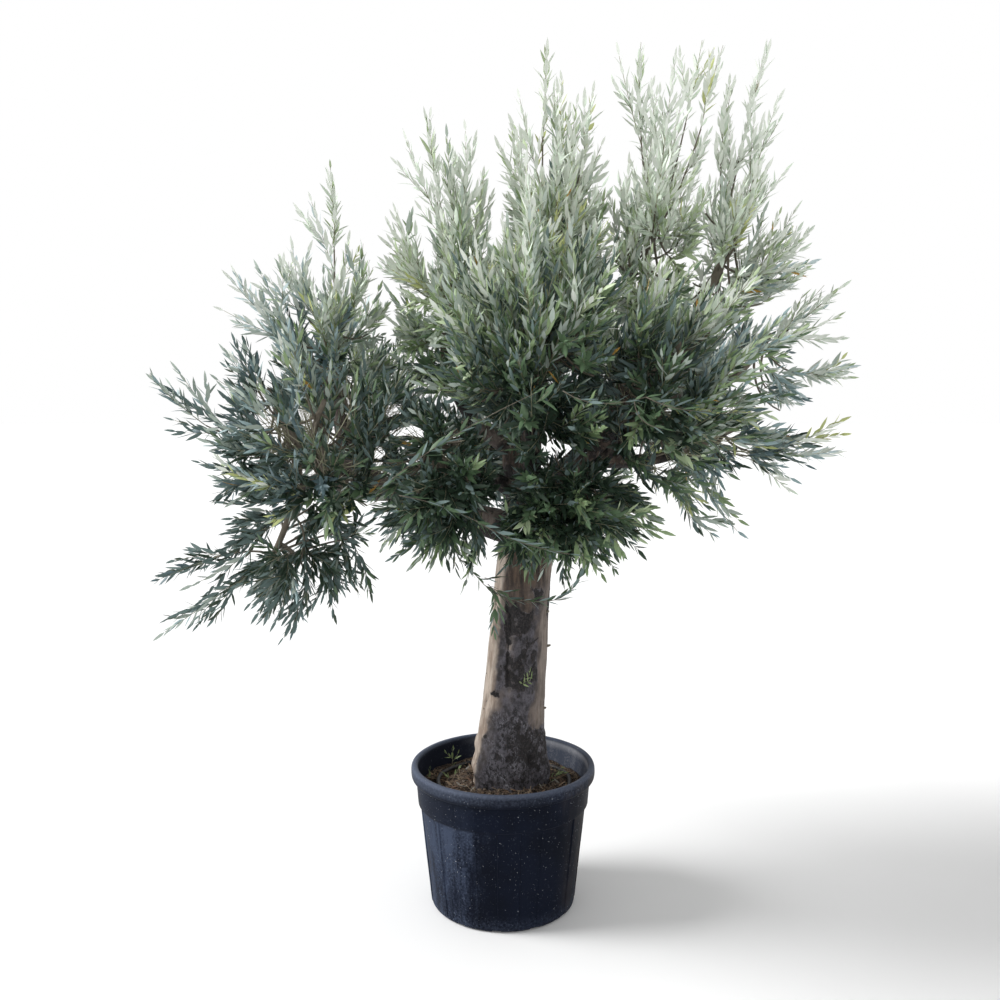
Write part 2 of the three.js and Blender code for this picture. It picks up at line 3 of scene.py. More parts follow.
import bpy
import numpy as np
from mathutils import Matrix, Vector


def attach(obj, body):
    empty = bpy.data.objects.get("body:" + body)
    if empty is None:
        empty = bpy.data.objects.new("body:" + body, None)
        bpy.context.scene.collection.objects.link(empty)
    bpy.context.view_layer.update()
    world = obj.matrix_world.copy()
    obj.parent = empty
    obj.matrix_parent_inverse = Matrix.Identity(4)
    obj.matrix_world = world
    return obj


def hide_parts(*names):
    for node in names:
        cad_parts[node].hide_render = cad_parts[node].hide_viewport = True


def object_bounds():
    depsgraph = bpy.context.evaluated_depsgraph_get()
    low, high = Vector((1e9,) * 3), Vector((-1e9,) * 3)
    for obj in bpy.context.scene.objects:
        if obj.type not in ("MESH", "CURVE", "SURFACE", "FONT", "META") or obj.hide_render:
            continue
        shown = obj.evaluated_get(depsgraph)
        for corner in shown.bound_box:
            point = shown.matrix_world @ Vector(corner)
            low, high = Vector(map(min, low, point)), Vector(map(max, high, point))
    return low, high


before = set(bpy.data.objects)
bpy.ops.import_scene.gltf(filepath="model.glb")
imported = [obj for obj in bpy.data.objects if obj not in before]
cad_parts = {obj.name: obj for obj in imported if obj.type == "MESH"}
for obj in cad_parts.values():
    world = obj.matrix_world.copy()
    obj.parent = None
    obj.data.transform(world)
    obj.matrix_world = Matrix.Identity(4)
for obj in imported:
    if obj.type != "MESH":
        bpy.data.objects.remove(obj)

# An olive tree in a black nursery pot, in metres, Z up, standing at the origin with its front to -Y.

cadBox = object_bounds()


# Numbers and vectors, all worked on as whole arrays.

def unit(v):
    # Each vector divided by its length.
    return v / np.maximum(np.linalg.norm(v, axis=-1, keepdims=True), 1e-9)


def dot(a, b):
    # The sum of the products of each vector's parts.
    return np.sum(a * b, axis=-1, keepdims=True)


def mix(a, b, t):
    # a where t is 0, b where it is 1, and straight between them.
    return a + (b - a) * t


def fraction(x):
    # What is left over the whole number below.
    return x - np.floor(x)


def smooth(lo, hi, x):
    # 0 below lo, 1 above hi, and 3t^2 - 2t^3 between them.
    t = np.clip((x - lo) / (hi - lo), 0, 1)
    return t * t * (3 - 2 * t)


def between(x, lo, full, ebb, hi):
    # Rises smoothly from lo to full, and falls again from ebb to hi.
    return smooth(lo, full, x) * smooth(hi, ebb, x)


def hump(x, width):
    # A bell: e to the minus square of x over its width.
    return np.exp(-(x / width) ** 2)


def chance(a, b, c):
    # A repeatable number from 0 to 1: the fraction of a large multiple of the sine of a weighted sum.
    return fraction(np.sin(a * 12.9898 + b * 78.233 + c * 37.719) * 43758.5453)


def cellNoise(p, seed):
    # Chance values at the eight whole places round each point, blended along each axis, from -1 to 1.
    low = np.floor(p)
    part = p - low
    part = part * part * (3 - 2 * part)
    total = 0
    for corner in np.ndindex(2, 2, 2):
        weight = np.prod(np.where(corner, part, 1 - part), axis=-1)
        x, y, z = np.moveaxis(low + corner, -1, 0)
        total = total + weight * chance(x + seed, y, z)
    return 2 * total - 1


def noise(p, octaves=4, seed=0):
    # Cell noise added up at twice the scale and half the height each time.
    return sum(0.5 ** k * cellNoise(p * 2 ** k, seed + 17 * k) for k in range(octaves))


def roundTurns(count):
    # So many angles, spread evenly over a full turn.
    return np.arange(count) * 2 * math.pi / count


def lathe(radius, turn, height):
    # A point for each radius, turn and height: radius times cosine and sine, then the height.
    parts = np.broadcast_arrays(radius * np.cos(turn), radius * np.sin(turn), height)
    return np.stack(parts, axis=-1)


def squared(v, way):
    # Each vector less its share along a direction, made one long.
    return unit(v - dot(v, way) * way)


def squareTo(v):
    # A unit vector square to each one: Z crossed with it, or X where it is nearly upright.
    helper = np.where(np.abs(v[..., 2:3]) < 0.9, (0.0, 0.0, 1.0), (1.0, 0.0, 0.0))
    return unit(np.cross(helper, v))


def onCurve(curves, t):
    # A quadratic curve's point: start, control and end weighted by (1-t)^2, 2t(1-t) and t^2.
    t = np.asarray(t, float)[..., None]
    a, b, c = curves[..., 0, :], curves[..., 1, :], curves[..., 2, :]
    return (1 - t) ** 2 * a + 2 * t * (1 - t) * b + t * t * c


def alongCurve(curves, t):
    # A quadratic curve's direction: its two legs weighted by 1-t and t.
    t = np.asarray(t, float)[..., None]
    a, b, c = curves[..., 0, :], curves[..., 1, :], curves[..., 2, :]
    return unit((1 - t) * (b - a) + t * (c - b))


# Materials.

class Value:
    # A number or colour in a material. Arithmetic on it makes the Math nodes.
    def __init__(self, look, socket):
        self.look = look
        self.socket = socket

    def maths(self, operation, a, b):
        return self.look.node("ShaderNodeMath", {"operation": operation}, {0: a, 1: b})

    def __add__(self, other):
        return self.maths("ADD", self, other)

    def __radd__(self, other):
        return self.maths("ADD", other, self)

    def __sub__(self, other):
        return self.maths("SUBTRACT", self, other)

    def __rsub__(self, other):
        return self.maths("SUBTRACT", other, self)

    def __mul__(self, other):
        return self.maths("MULTIPLY", self, other)

    def __rmul__(self, other):
        return self.maths("MULTIPLY", other, self)

    def __pow__(self, other):
        return self.maths("POWER", self, other)


class Look:
    # A material with one Principled shader. Everything that varies comes from node().
    def __init__(self, name, **plain):
        self.material = bpy.data.materials.new(name)
        self.material.use_nodes = True
        self.tree = self.material.node_tree
        self.shader = self.tree.nodes["Principled BSDF"]
        for socket, value in plain.items():
            self.feed(self.shader.inputs[socket.replace("_", " ")], value)

    def feed(self, socket, value):
        if isinstance(value, Value):
            self.tree.links.new(value.socket, socket)
        else:
            socket.default_value = value

    def node(self, kind, settings, values, output=0):
        made = self.tree.nodes.new(kind)
        for name, value in settings.items():
            setattr(made, name, value)
        for socket, value in values.items():
            self.feed(made.inputs[socket], value)
        return Value(self, made.outputs[output])

    def place(self, scale=(1, 1, 1)):
        here = self.node("ShaderNodeTexCoord", {}, {}, "Object")
        return self.node("ShaderNodeMapping", {}, {"Vector": here, "Scale": scale})

    def part(self, axis):
        return self.node("ShaderNodeSeparateXYZ", {}, {0: self.place()}, axis)

    def field(self, name):
        return self.node("ShaderNodeAttribute", {"attribute_name": name}, {}, "Fac")

    def cloud(self, scale, detail=4, rough=0.6, stretch=(1, 1, 1)):
        return self.node("ShaderNodeTexNoise", {}, {
            "Vector": self.place(stretch), "Scale": scale, "Detail": detail, "Roughness": rough})

    def step(self, value, lo, hi):
        # 0 where value is under lo, 1 where it is over hi.
        return self.node("ShaderNodeMapRange", {"interpolation_type": "SMOOTHSTEP"}, {
            "Value": value, "From Min": lo, "From Max": hi})

    def blend(self, mask, a, b):
        return self.node("ShaderNodeMix", {"data_type": "RGBA"}, {0: mask, 6: a, 7: b}, 2)

    def finish(self, colour=None, roughness=None, height=None, depth=0.001, strength=1.0):
        if colour is not None:
            self.feed(self.shader.inputs["Base Color"], colour)
        if roughness is not None:
            self.feed(self.shader.inputs["Roughness"], roughness)
        if height is not None:
            normal = self.node("ShaderNodeBump", {}, {
                "Height": height, "Distance": depth, "Strength": strength})
            self.feed(self.shader.inputs["Normal"], normal)
        return self.material


def paint(red, green, blue, gain=1.0):
    # A colour as a paint chart gives it, 0 to 255, as the linear light that the shader takes.
    share = np.array((red, green, blue)) / 255
    light = np.where(share < 0.04045, share / 12.92, ((share + 0.055) / 1.055) ** 2.4)
    return (*(light * gain).tolist(), 1.0)


# Meshes.

def addPiece(name, points, faces, material, slot, stands=(), crease=None, fields=None):
    # Puts arrays of points and triangles into a new mesh, which rides on the tree.
    mesh = bpy.data.meshes.new(name)
    mesh.vertices.add(len(points))
    mesh.vertices.foreach_set("co", np.asarray(points, np.float32).ravel())
    mesh.loops.add(faces.size)
    mesh.loops.foreach_set("vertex_index", np.asarray(faces, np.int32).ravel())
    mesh.polygons.add(len(faces))
    mesh.polygons.foreach_set("loop_start", np.arange(len(faces), dtype=np.int32) * 3)
    mesh.update(calc_edges=True)
    mesh.polygons.foreach_set("use_smooth", np.full(len(faces), True))
    if crease:
        mesh.set_sharp_from_angle(angle=math.radians(crease))
    for field, values in (fields or {}).items():
        layer = mesh.attributes.new(field, "FLOAT", "POINT")
        layer.data.foreach_set("value", np.asarray(values, np.float32).ravel())
    mesh.materials.append(material)
    piece = bpy.data.objects.new(name, mesh)
    bpy.context.scene.collection.objects.link(piece)
    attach(piece, "root")
    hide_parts(*stands)


def joinParts(parts):
    # Stacks (points, triangles) pairs into one, with each part's triangles counted on from the last.
    starts = np.cumsum([0] + [len(points) for points, _ in parts[:-1]])
    points = np.concatenate([points for points, _ in parts])
    faces = np.concatenate([faces + start for (_, faces), start in zip(parts, starts)])
    return points, faces


def gridFaces(rows, columns):
    # Two triangles for each cell of a grid that closes on itself along its columns.
    row, column = np.meshgrid(np.arange(rows - 1), np.arange(columns), indexing="ij")
    after = (column + 1) % columns
    a, b = row * columns + column, row * columns + after
    c, d = a + columns, b + columns
    return np.stack([a, b, d, a, d, c], axis=-1).reshape(-1, 3)


def closedSurface(grid, first, last):
    # A grid of rings with a point at each end, to which the end rings are closed.
    rows, columns = grid.shape[:2]
    ring = np.arange(columns)
    after = (ring + 1) % columns
    start, end = rows * columns, rows * columns + 1
    top = (rows - 1) * columns
    caps = np.concatenate([
        np.stack([after, ring, np.full(columns, start)], axis=-1),
        np.stack([top + ring, top + after, np.full(columns, end)], axis=-1)])
    points = np.concatenate([grid.reshape(-1, 3), [first, last]])
    return points, np.concatenate([gridFaces(rows, columns), caps])


def tubes(curves, thick, thin, sides, steps):
    # Tapering tubes: each curve's point plus its radius times cosine and sine on two square vectors.
    # The root is closed flat, and the tip in a point.
    count = len(curves)
    t = np.linspace(0, 1, steps)
    centre = onCurve(curves[:, None], t[None, :])
    tangent = alongCurve(curves[:, None], t[None, :])
    across = squareTo(unit(curves[:, 2] - curves[:, 0]))[:, None]
    side = unit(np.cross(across, tangent))
    other = np.cross(tangent, side)
    angle = roundTurns(sides)
    radius = mix(np.asarray(thick)[:, None], np.asarray(thin)[:, None], t[None, :])[..., None, None]
    ring = np.cos(angle)[:, None] * side[:, :, None] + np.sin(angle)[:, None] * other[:, :, None]
    points = centre[:, :, None] + radius * ring
    tips = curves[:, 2] + tangent[:, -1] * np.asarray(thin)[:, None]
    each = steps * sides + 1
    allPoints = np.concatenate([points.reshape(count, -1, 3), tips[:, None]], axis=1).reshape(-1, 3)
    turn = np.arange(sides)
    after = (turn + 1) % sides
    top = (steps - 1) * sides
    tip = np.stack([top + turn, top + after, np.full(sides, steps * sides)], axis=-1)
    root = np.stack([np.zeros(sides - 2, int), turn[2:], turn[1:-1]], axis=-1)
    one = np.concatenate([gridFaces(steps, sides), tip, root])
    faces = (np.arange(count)[:, None, None] * each + one).reshape(-1, 3)
    return allPoints, faces


leafShape = {"near": 0.34, "far": 0.7, "farWidth": 0.74, "ridge": 0.13}  # shares of length and width


def leafPoints(base, way, up, length, width, curl):
    # Eight points: base, left, rib and right at two stations, and the tip. A point is the base plus
    # its share of the length along the leaf, and the droop is the curl times that share squared.
    side = np.cross(way, up)
    near, far, farWidth, ridge = leafShape.values()
    rows = [(0, 0, 0), (near, -1, 0), (near, 0, ridge), (near, 1, 0),
            (far, -farWidth, 0), (far, 0, ridge * 0.7), (far, farWidth, 0), (1, 0, 0)]
    spots = [base + way * (length * s) + side * (0.5 * width * x)
             + up * (width * rise - curl * length * s * s) for s, x, rise in rows]
    return np.stack(spots, axis=1)


def leafTops(spots):
    # Eight triangles over a leaf's eight points, folded along the rib.
    one = np.array([(0, 3, 2), (0, 2, 1), (2, 3, 6), (2, 6, 5), (1, 2, 5), (1, 5, 4), (4, 5, 7), (5, 6, 7)])
    return spots.reshape(-1, 3), (np.arange(len(spots))[:, None, None] * 8 + one).reshape(-1, 3)


def leafUndersides(spots):
    # Four triangles between a leaf's six outer points, facing down.
    one = np.array([(0, 1, 2), (1, 3, 4), (1, 4, 2), (3, 5, 4)])
    flat = spots[:, (0, 1, 3, 4, 6, 7)]
    return flat.reshape(-1, 3), (np.arange(len(flat))[:, None, None] * 6 + one).reshape(-1, 3)


# Camera, floor and light.

stage = {
    "camera": (-0.011, -3.35, 1.72),
    "pitch": 0.086,  # radians below level
    "lens": 34.85,
    "floor": 400.0,
    "horizon": 1.0,  # brightness of the studio round the horizon
    "zenith": 0.4,
    "fade": (0.45, 0.8),  # how far up it goes from the one to the other, of 1 for straight up
    "key": (-0.78, 0.0, 0.63),  # where the large soft lamp stands, as a direction
    "keyPower": 3.2,
    "keySpread": 26.0,  # degrees across
}


def makeStage():
    # A wide pale floor, a sky that darkens upwards, and one large soft lamp on the left.
    data = bpy.data.cameras.new("camera")
    data.lens = stage["lens"]
    camera = bpy.data.objects.new("camera", data)
    camera.location = stage["camera"]
    camera.rotation_euler = (math.pi / 2 - stage["pitch"], 0, 0)
    scene = bpy.context.scene
    scene.collection.objects.link(camera)
    scene.camera = camera
    scene.view_settings.view_transform = "Standard"
    bpy.ops.mesh.primitive_plane_add(size=stage["floor"])
    floor = bpy.context.object
    floor.name = "floor"
    white = Look("studio_floor", Roughness=0.9)
    shade = white.blend(white.cloud(0.7, 2), paint(240, 240, 240), paint(246, 246, 246))
    floor.data.materials.append(white.finish(shade))
    world = bpy.data.worlds.new("studio")
    world.use_nodes = True
    nodes, links = world.node_tree.nodes, world.node_tree.links
    where = nodes.new("ShaderNodeTexCoord")
    split = nodes.new("ShaderNodeSeparateXYZ")
    height = nodes.new("ShaderNodeMapRange")
    links.new(where.outputs["Generated"], split.inputs[0])
    links.new(split.outputs["Z"], height.inputs["Value"])
    ends = (*stage["fade"], stage["horizon"], stage["zenith"])
    for socket, value in zip(("From Min", "From Max", "To Min", "To Max"), ends):
        height.inputs[socket].default_value = value
    nodes["Background"].inputs["Color"].default_value = (1, 1, 1, 1)
    links.new(height.outputs[0], nodes["Background"].inputs["Strength"])
    scene.world = world
    light = bpy.data.lights.new("key", "SUN")
    light.angle = math.radians(stage["keySpread"])
    light.energy = stage["keyPower"]
    key = bpy.data.objects.new("key", light)
    x, y, z = stage["key"]
    key.rotation_euler = (math.atan2(math.hypot(x, y), z), 0, math.atan2(y, x) + math.pi / 2)
    scene.collection.objects.link(key)


makeStage()
print("stage ready")


# Pot.

pot = {
    "foot": 0.257,
    "footRound": 0.018,
    "underside": [(0.12, 0.0), (0.21, 0.0)],
    "panelTop": (0.293, 0.358),
    "step": [(0.2936, 0.3594), (0.2958, 0.3616), (0.2996, 0.3632), (0.3006, 0.3648)],
    "bandFoot": (0.301, 0.366),
    "bandTop": (0.308, 0.453),
    "roll": (0.3125, 0.4762),  # middle of the rolled rim
    "rollHalf": (0.0125, 0.0236),
    "inner": [(0.284, 0.358), (0.248, 0.016), (0.238, 0.006), (0.1, 0.006)],
    "ribDepth": 0.004,
    "ribs": 12,
    "ribTurn": -3.75,  # where a rib's edge stands, in degrees right of the front
    "ribSlope": 0.025,  # share of a rib and its gap
    "slots": 12,
    "slotTurn": -5.1,
    "slotHalf": 3.4,  # degrees
    "slotEdge": 0.4,
    "slotHeight": 0.009,
    "slotDepth": 0.016,
    "ripple": 0.0011,  # how far the wall is moulded out of true
    "columns": 480,
}


def potProfile():
    # Straight runs between named corners, a quarter circle at the foot, and a rounded box for the roll:
    # its middle plus its half sizes times the signed 0.7th powers of cosine and sine.
    foot, rounding, slot = pot["foot"], pot["footRound"], pot["slotHeight"]
    turn = np.concatenate([np.linspace(-90, -52, 5), np.linspace(-40, 0, 5)]) * math.pi / 180
    out = foot - rounding + rounding * np.cos(turn)
    corner = np.stack([out, rounding + rounding * np.sin(turn)], axis=-1)
    low = math.asin(slot / rounding - 1)
    edge = [(foot - rounding + rounding * math.cos(low), slot + lift) for lift in (-0.0002, 0.0002)]
    corner = np.array(sorted([*map(tuple, corner), *edge], key=lambda p: p[1]))
    wall = mix(np.array([[foot, rounding]]), np.array([pot["panelTop"]]), np.linspace(0.03, 1, 14)[:, None])
    band = mix(np.array([pot["bandFoot"]]), np.array([pot["bandTop"]]), np.linspace(0, 1, 6)[:, None])
    sweep = np.radians(np.linspace(-84, 192, 27))
    bend = [np.sign(f(sweep)) * np.abs(f(sweep)) ** 0.7 for f in (np.cos, np.sin)]
    roll = np.stack([pot["roll"][k] + pot["rollHalf"][k] * bend[k] for k in (0, 1)], axis=-1)
    inner = np.array(pot["inner"])
    side = mix(roll[-1:], inner[:1], np.linspace(0.1, 1, 8)[:, None])
    return np.concatenate([pot["underside"], corner, wall, pot["step"], band, roll, side, inner[1:]])


def ribMask(turn):
    # 1 on the panels that are set in and 0 on those that stand proud, with short slopes between.
    cycle = fraction((np.degrees(turn) + 90 - pot["ribTurn"]) * pot["ribs"] / 360)
    slope = pot["ribSlope"]
    return smooth(0.5, 0.5 + slope, cycle) * (1 - smooth(1 - slope, 1, cycle))


def makePot():
    # The profile swept round, with every other panel and each slot in the foot set in.
    profile = potProfile()
    turn = roundTurns(pot["columns"])
    radius = np.repeat(profile[:, :1], len(turn), axis=1)
    height = np.repeat(profile[:, 1:], len(turn), axis=1)
    outside = (np.arange(len(profile)) < np.argmax(profile[:, 1]))[:, None]
    panels = outside & (height > 0.001) & (height < pot["step"][1][1]) & (radius > 0.24)
    fade = smooth(0.0, 0.03, height)
    radius = radius - np.where(panels, pot["ribDepth"] * fade * ribMask(turn), 0)
    pitch = 360 / pot["slots"]
    off = fraction((np.degrees(turn) + 90 - pot["slotTurn"]) / pitch + 0.5) * pitch - pitch / 2
    slots = 1 - smooth(pot["slotHalf"] - pot["slotEdge"], pot["slotHalf"] + pot["slotEdge"], np.abs(off))
    lowEdge = outside & (height < pot["slotHeight"]) & (radius > 0.225)
    radius = radius - np.where(lowEdge, pot["slotDepth"] * slots, 0)
    ripple = noise(lathe(2.2, turn, height * 6), 2, 5)
    radius = radius + pot["ripple"] * ripple * smooth(0.02, 0.2, height)
    points, faces = closedSurface(lathe(radius, turn, height), (0, 0, 0), (0, 0, pot["inner"][-1][1]))
    # The slots are marked so that they can be painted nearly black: painted shade in the recesses.
    dark = np.concatenate([(lowEdge * slots).ravel(), np.zeros(2)])
    addPiece("pot_shell", points, faces, potLook(), "plastic", ["pot"], crease=32, fields={"slot": dark})


def potLook():
    # Nearly black plastic under layers of dust, wear and scratches, with a painted highlight on the roll,
    # painted light on the inner wall and painted shade in the slots, each laid on by its own mask.
    look = Look("nursery_plastic", Specular_IOR_Level=0.06)
    x, y, z = look.part(0), look.part(1), look.part(2)
    broad = look.cloud(5, 3)
    streak = look.cloud(26, 4, 0.65, (1, 1, 0.12))
    grain = look.cloud(140, 5, 0.7)
    speck = look.cloud(210, 2, 0.5)
    # Pale dust lies on the side that faces -X, brown dust on the other, and both on the roll.
    left = look.step(-1 * x + broad * 0.2, 0.1, 0.31)
    low = look.step(z, 0.30, 0.1) * 0.35
    band = look.step(z, 0.352, 0.362)
    scuffed = look.step(streak * 0.6 + grain * 0.5 + left * 0.16 - low * 0.25, 0.5, 0.78)
    dusty = scuffed * look.step(left + 0.3, 0.3, 1.0) * (1 - band * 0.85)
    brown = look.step(x + broad * 0.12, 0.24, 0.36) * look.step(streak, 0.38, 0.7)
    roll = look.step(z, 0.455, 0.48)
    # The inner wall lies within a cone that runs between it and the band outside.
    outward = (x * x + y * y) ** 0.5 - z * 0.115
    inside = look.step(z, 0.38, 0.4) * look.step(outward, 0.2525, 0.2495) * look.step(z, 0.496, 0.486)
    worn = look.step(grain, 0.6, 0.72)
    colour = look.blend(look.step(broad, 0.35, 0.65), paint(6, 11, 23), paint(10, 17, 32))
    colour = look.blend(dusty * 0.8, colour, paint(64, 73, 92))
    colour = look.blend(brown * 0.7, colour, paint(74, 68, 64))
    # The roll's crest, and a little more of it on the left towards the lamp, are painted lighter as a
    # highlight; the grainy part is rubbed wear.
    crest = look.step(z, 0.482, 0.499)
    rubbedAndHighlit = roll * (0.06 + crest * 0.4 + look.step(grain, 0.4, 0.62) * 0.14 + left * 0.15)
    colour = look.blend(rubbedAndHighlit, colour, paint(100, 108, 126))
    splashed = look.step(z, 0.07, 0.01) * look.step(grain, 0.35, 0.6)
    colour = look.blend(splashed * 0.3, colour, paint(70, 78, 96))
    colour = look.blend(inside, colour, paint(32, 36, 48))
    # The inner wall on the right and at the back, which faces the lamp, is painted lighter: painted light.
    # Within it, scratches and a painted highlight along the top of the inner wall are paler still.
    litInnerWall = inside * look.step(x + y * 0.4 + broad * 0.2, 0.02, 0.24)
    colour = look.blend(litInnerWall * 0.9, colour, paint(84, 90, 104))
    scratchesAndHighlight = look.step(grain * 0.6 + streak * 0.5, 0.5, 0.7) * 0.3 + look.step(z, 0.46, 0.485) * 0.55
    colour = look.blend(litInnerWall * scratchesAndHighlight, colour, paint(176, 178, 184))
    colour = look.blend(worn * 0.3, colour, paint(112, 122, 138))
    colour = look.blend(look.step(speck, 0.735, 0.76), colour, paint(190, 194, 200))
    # The slots in the foot are painted nearly black: painted shade in the recesses.
    colour = look.blend(look.field("slot"), colour, paint(2, 3, 6))
    roughness = 0.52 + dusty * 0.25 + brown * 0.2
    return look.finish(colour, roughness, grain * 0.5 + streak, 0.0012, 0.5)


makePot()
print("pot ready")


# Soil, what lies on it, and the drip ring.

soil = {
    "level": 0.408,
    "radius": 0.2925,
    "heap": 0.028,  # rise at the trunk
    "rough": 0.012,
    "skirt": 0.03,  # how far its sides go down, out of sight
    "foot": 0.37,
    "columns": 260,
    "rows": 70,
    "leaves": 420,
    "leafKinds": {"tan": (0.34, (164, 138, 112)), "brown": (0.42, (112, 84, 64)),
                  "grey": (0.24, (150, 146, 138))},  # share of the leaves, and colour
    "sticks": 420,
    "crumbs": 1500,
    "wall": 0.285,  # how far out what lies on it may reach
}

ring = {"radius": 0.234, "pipe": 0.007, "height": 0.424, "columns": 14, "rows": 200}


def soilHeight(x, y):
    # A flat level, a heap towards the trunk, and noise at two scales.
    out = np.hypot(x, y)
    here = np.stack([x * 16, y * 16, 0 * x], axis=-1)
    lump = noise(here, 5, 3)
    edge = smooth(0.2, 0.28, out)
    heaped = soil["level"] + soil["heap"] * smooth(0.26, 0.13, out)
    return heaped + soil["rough"] * lump * (1 - 0.4 * edge) + 0.006 * edge


def makeSoil():
    # Rings of points from the wall in to the middle, each at the soil's height.
    turn = roundTurns(soil["columns"])
    out = soil["radius"] * np.linspace(1, 0.02, soil["rows"])[:, None]
    x, y = out * np.cos(turn), out * np.sin(turn)
    top = np.stack([x, y, soilHeight(x, y)], axis=-1)
    skirt = top[:1] * (0.99, 0.99, 1) - (0, 0, soil["skirt"])
    middle = float(soilHeight(np.zeros(1), np.zeros(1))[0])
    points, faces = closedSurface(np.concatenate([skirt, top]), (0, 0, soil["foot"]), (0, 0, middle))
    look = Look("potting_soil")
    coarse, fine = look.cloud(46, 6, 0.72), look.cloud(190, 4, 0.7)
    colour = look.blend(look.step(coarse, 0.35, 0.65), paint(38, 31, 28), paint(98, 80, 66))
    colour = look.blend(look.step(fine, 0.58, 0.7), colour, paint(190, 168, 144))
    colour = look.blend(look.step(fine, 0.42, 0.32), colour, paint(26, 21, 19))
    addPiece("soil_top", points, faces, look.finish(colour, 0.95, fine + coarse, 0.004), "soil", ["soil"])


def onSoil(dice, count, inner=0.125, outer=0.278):
    # Places spread evenly between the trunk and the pot's wall, thinned out under the drip ring.
    out = np.sqrt(mix(inner ** 2, outer ** 2, dice.random(count)))
    turn = dice.random(count) * 2 * math.pi
    away = np.abs(out - ring["radius"]) > 0.012 * dice.random(count) ** 0.3
    x, y = (out * np.cos(turn) + 0.008)[away], (out * np.sin(turn))[away]
    return np.stack([x, y, soilHeight(x, y) + 0.0015], axis=-1)


def lyingWays(dice, count, rise, spread):
    # Directions at any turn: its cosine, its sine, and a small rise.
    turn = dice.random((count, 1)) * 2 * math.pi
    up = dice.normal(rise, spread, (count, 1))
    return unit(np.concatenate([np.cos(turn), np.sin(turn), up], axis=1))


def scatterLeaves(dice):
    # Fallen leaves lie nearly flat. Those that would pass the wall are left out.
    for kind, (share, tint) in soil["leafKinds"].items():
        base = onSoil(dice, int(soil["leaves"] * share))
        count = len(base)
        way = lyingWays(dice, count, 0.12, 0.22)
        up = squared(np.array((0, 0, 1.0)) + dice.normal(0, 0.35, (count, 3)), way)
        length = mix(0.014, 0.042, dice.random((count, 1)))
        spots = leafPoints(base, way, up, length, length * 0.26, dice.normal(0, 0.12, (count, 1)))
        keep = np.all(np.hypot(spots[..., 0], spots[..., 1]) < soil["wall"], axis=1)
        points, faces = joinParts([leafTops(spots[keep]), leafUndersides(spots[keep])])
        look = Look("fallen_leaf_" + kind)
        shade = look.blend(look.cloud(90, 3), paint(*tint, 0.55), paint(*tint))
        addPiece("litter_leaves_" + kind, points, faces, look.finish(shade, 0.8), "soil")


def scatterSticks(dice):
    # Thin dry twigs, most of them short, bent a little at the middle.
    base = onSoil(dice, soil["sticks"])
    count = len(base)
    way = lyingWays(dice, count, 0.1, 0.2)
    length = mix(0.015, 0.06, dice.random((count, 1)) ** 2)
    end = base + way * length
    bow = base + way * length / 2 + dice.normal(0, 0.003, (count, 3))
    keep = np.hypot(end[:, 0], end[:, 1]) < soil["wall"] - 0.001
    curves = np.stack([base, bow, end], axis=1)[keep]
    thick = mix(0.0006, 0.0019, dice.random(len(curves)))
    look = Look("dry_fibre")
    shade = look.blend(look.cloud(60, 3), paint(84, 66, 52), paint(186, 164, 136))
    addPiece("litter_sticks", *tubes(curves, thick, thick * 0.6, 4, 4), look.finish(shade, 0.85), "soil")


def scatterCrumbs(dice):
    # Short thick tubes at every tilt, nearly as thick as they are long.
    base = onSoil(dice, soil["crumbs"], 0.12, 0.28)
    count = len(base)
    size = mix(0.0015, 0.006, dice.random((count, 1)) ** 2)
    tilt = unit(dice.normal(0, 1, (count, 3)))
    curves = np.stack([base - tilt * size, base, base + tilt * size], axis=1)
    points, faces = tubes(curves, size[:, 0] * 0.8, size[:, 0] * 0.6, 5, 3)
    look = Look("soil_crumbs")
    shade = look.blend(look.step(look.cloud(75, 2), 0.4, 0.62), paint(40, 32, 27), paint(140, 124, 108))
    addPiece("litter_crumbs", points, faces, look.finish(shade, 0.95), "soil")


def makeDripRing():
    # A circle of pipe that rises and dips a few millimetres and wanders in and out.
    turn = roundTurns(ring["rows"])
    out = ring["radius"] + 0.004 * np.sin(3 * turn + 1) + 0.002 * np.sin(7 * turn)
    lift = ring["height"] + 0.003 * np.sin(2 * turn + 0.6) + 0.0015 * np.sin(5 * turn)
    angle = roundTurns(ring["columns"])
    reach = out[:, None] + ring["pipe"] * np.cos(angle)
    grid = lathe(reach, turn[:, None], lift[:, None] + ring["pipe"] * np.sin(angle))
    grid = np.concatenate([grid, grid[:1]])[::-1]
    faces = gridFaces(len(grid), ring["columns"]) % (ring["rows"] * ring["columns"])
    look = Look("drip_pipe")
    dust = look.step(look.cloud(60, 4), 0.45, 0.7)
    colour = look.blend(dust * 0.7, paint(26, 28, 34), paint(104, 98, 92))
    plastic = look.finish(colour, 0.5 + dust * 0.3)
    addPiece("drip_pipe", grid[:-1].reshape(-1, 3), faces, plastic, "pipe", ["drip_ring"])


dice = np.random.default_rng(11)
makeSoil()
scatterLeaves(dice)
scatterSticks(dice)
scatterCrumbs(dice)
makeDripRing()
print("soil ready")


# Trunk.

trunk = {
    "foot": (0.013, 0.0, 0.41035),
    "bend": (0.043, -0.004, 0.896),
    "tip": (0.092, 0.004, 1.390),
    "radii": (0.131, 0.120, 0.112, 0.105, 0.100, 0.098, 0.096, 0.064),
    "twist": 200.9,  # degrees by which the lobes and flutes are turned
    "columns": 330,
    "rows": 290,
}
trunkCurve = np.array([trunk["foot"], trunk["bend"], trunk["tip"]])

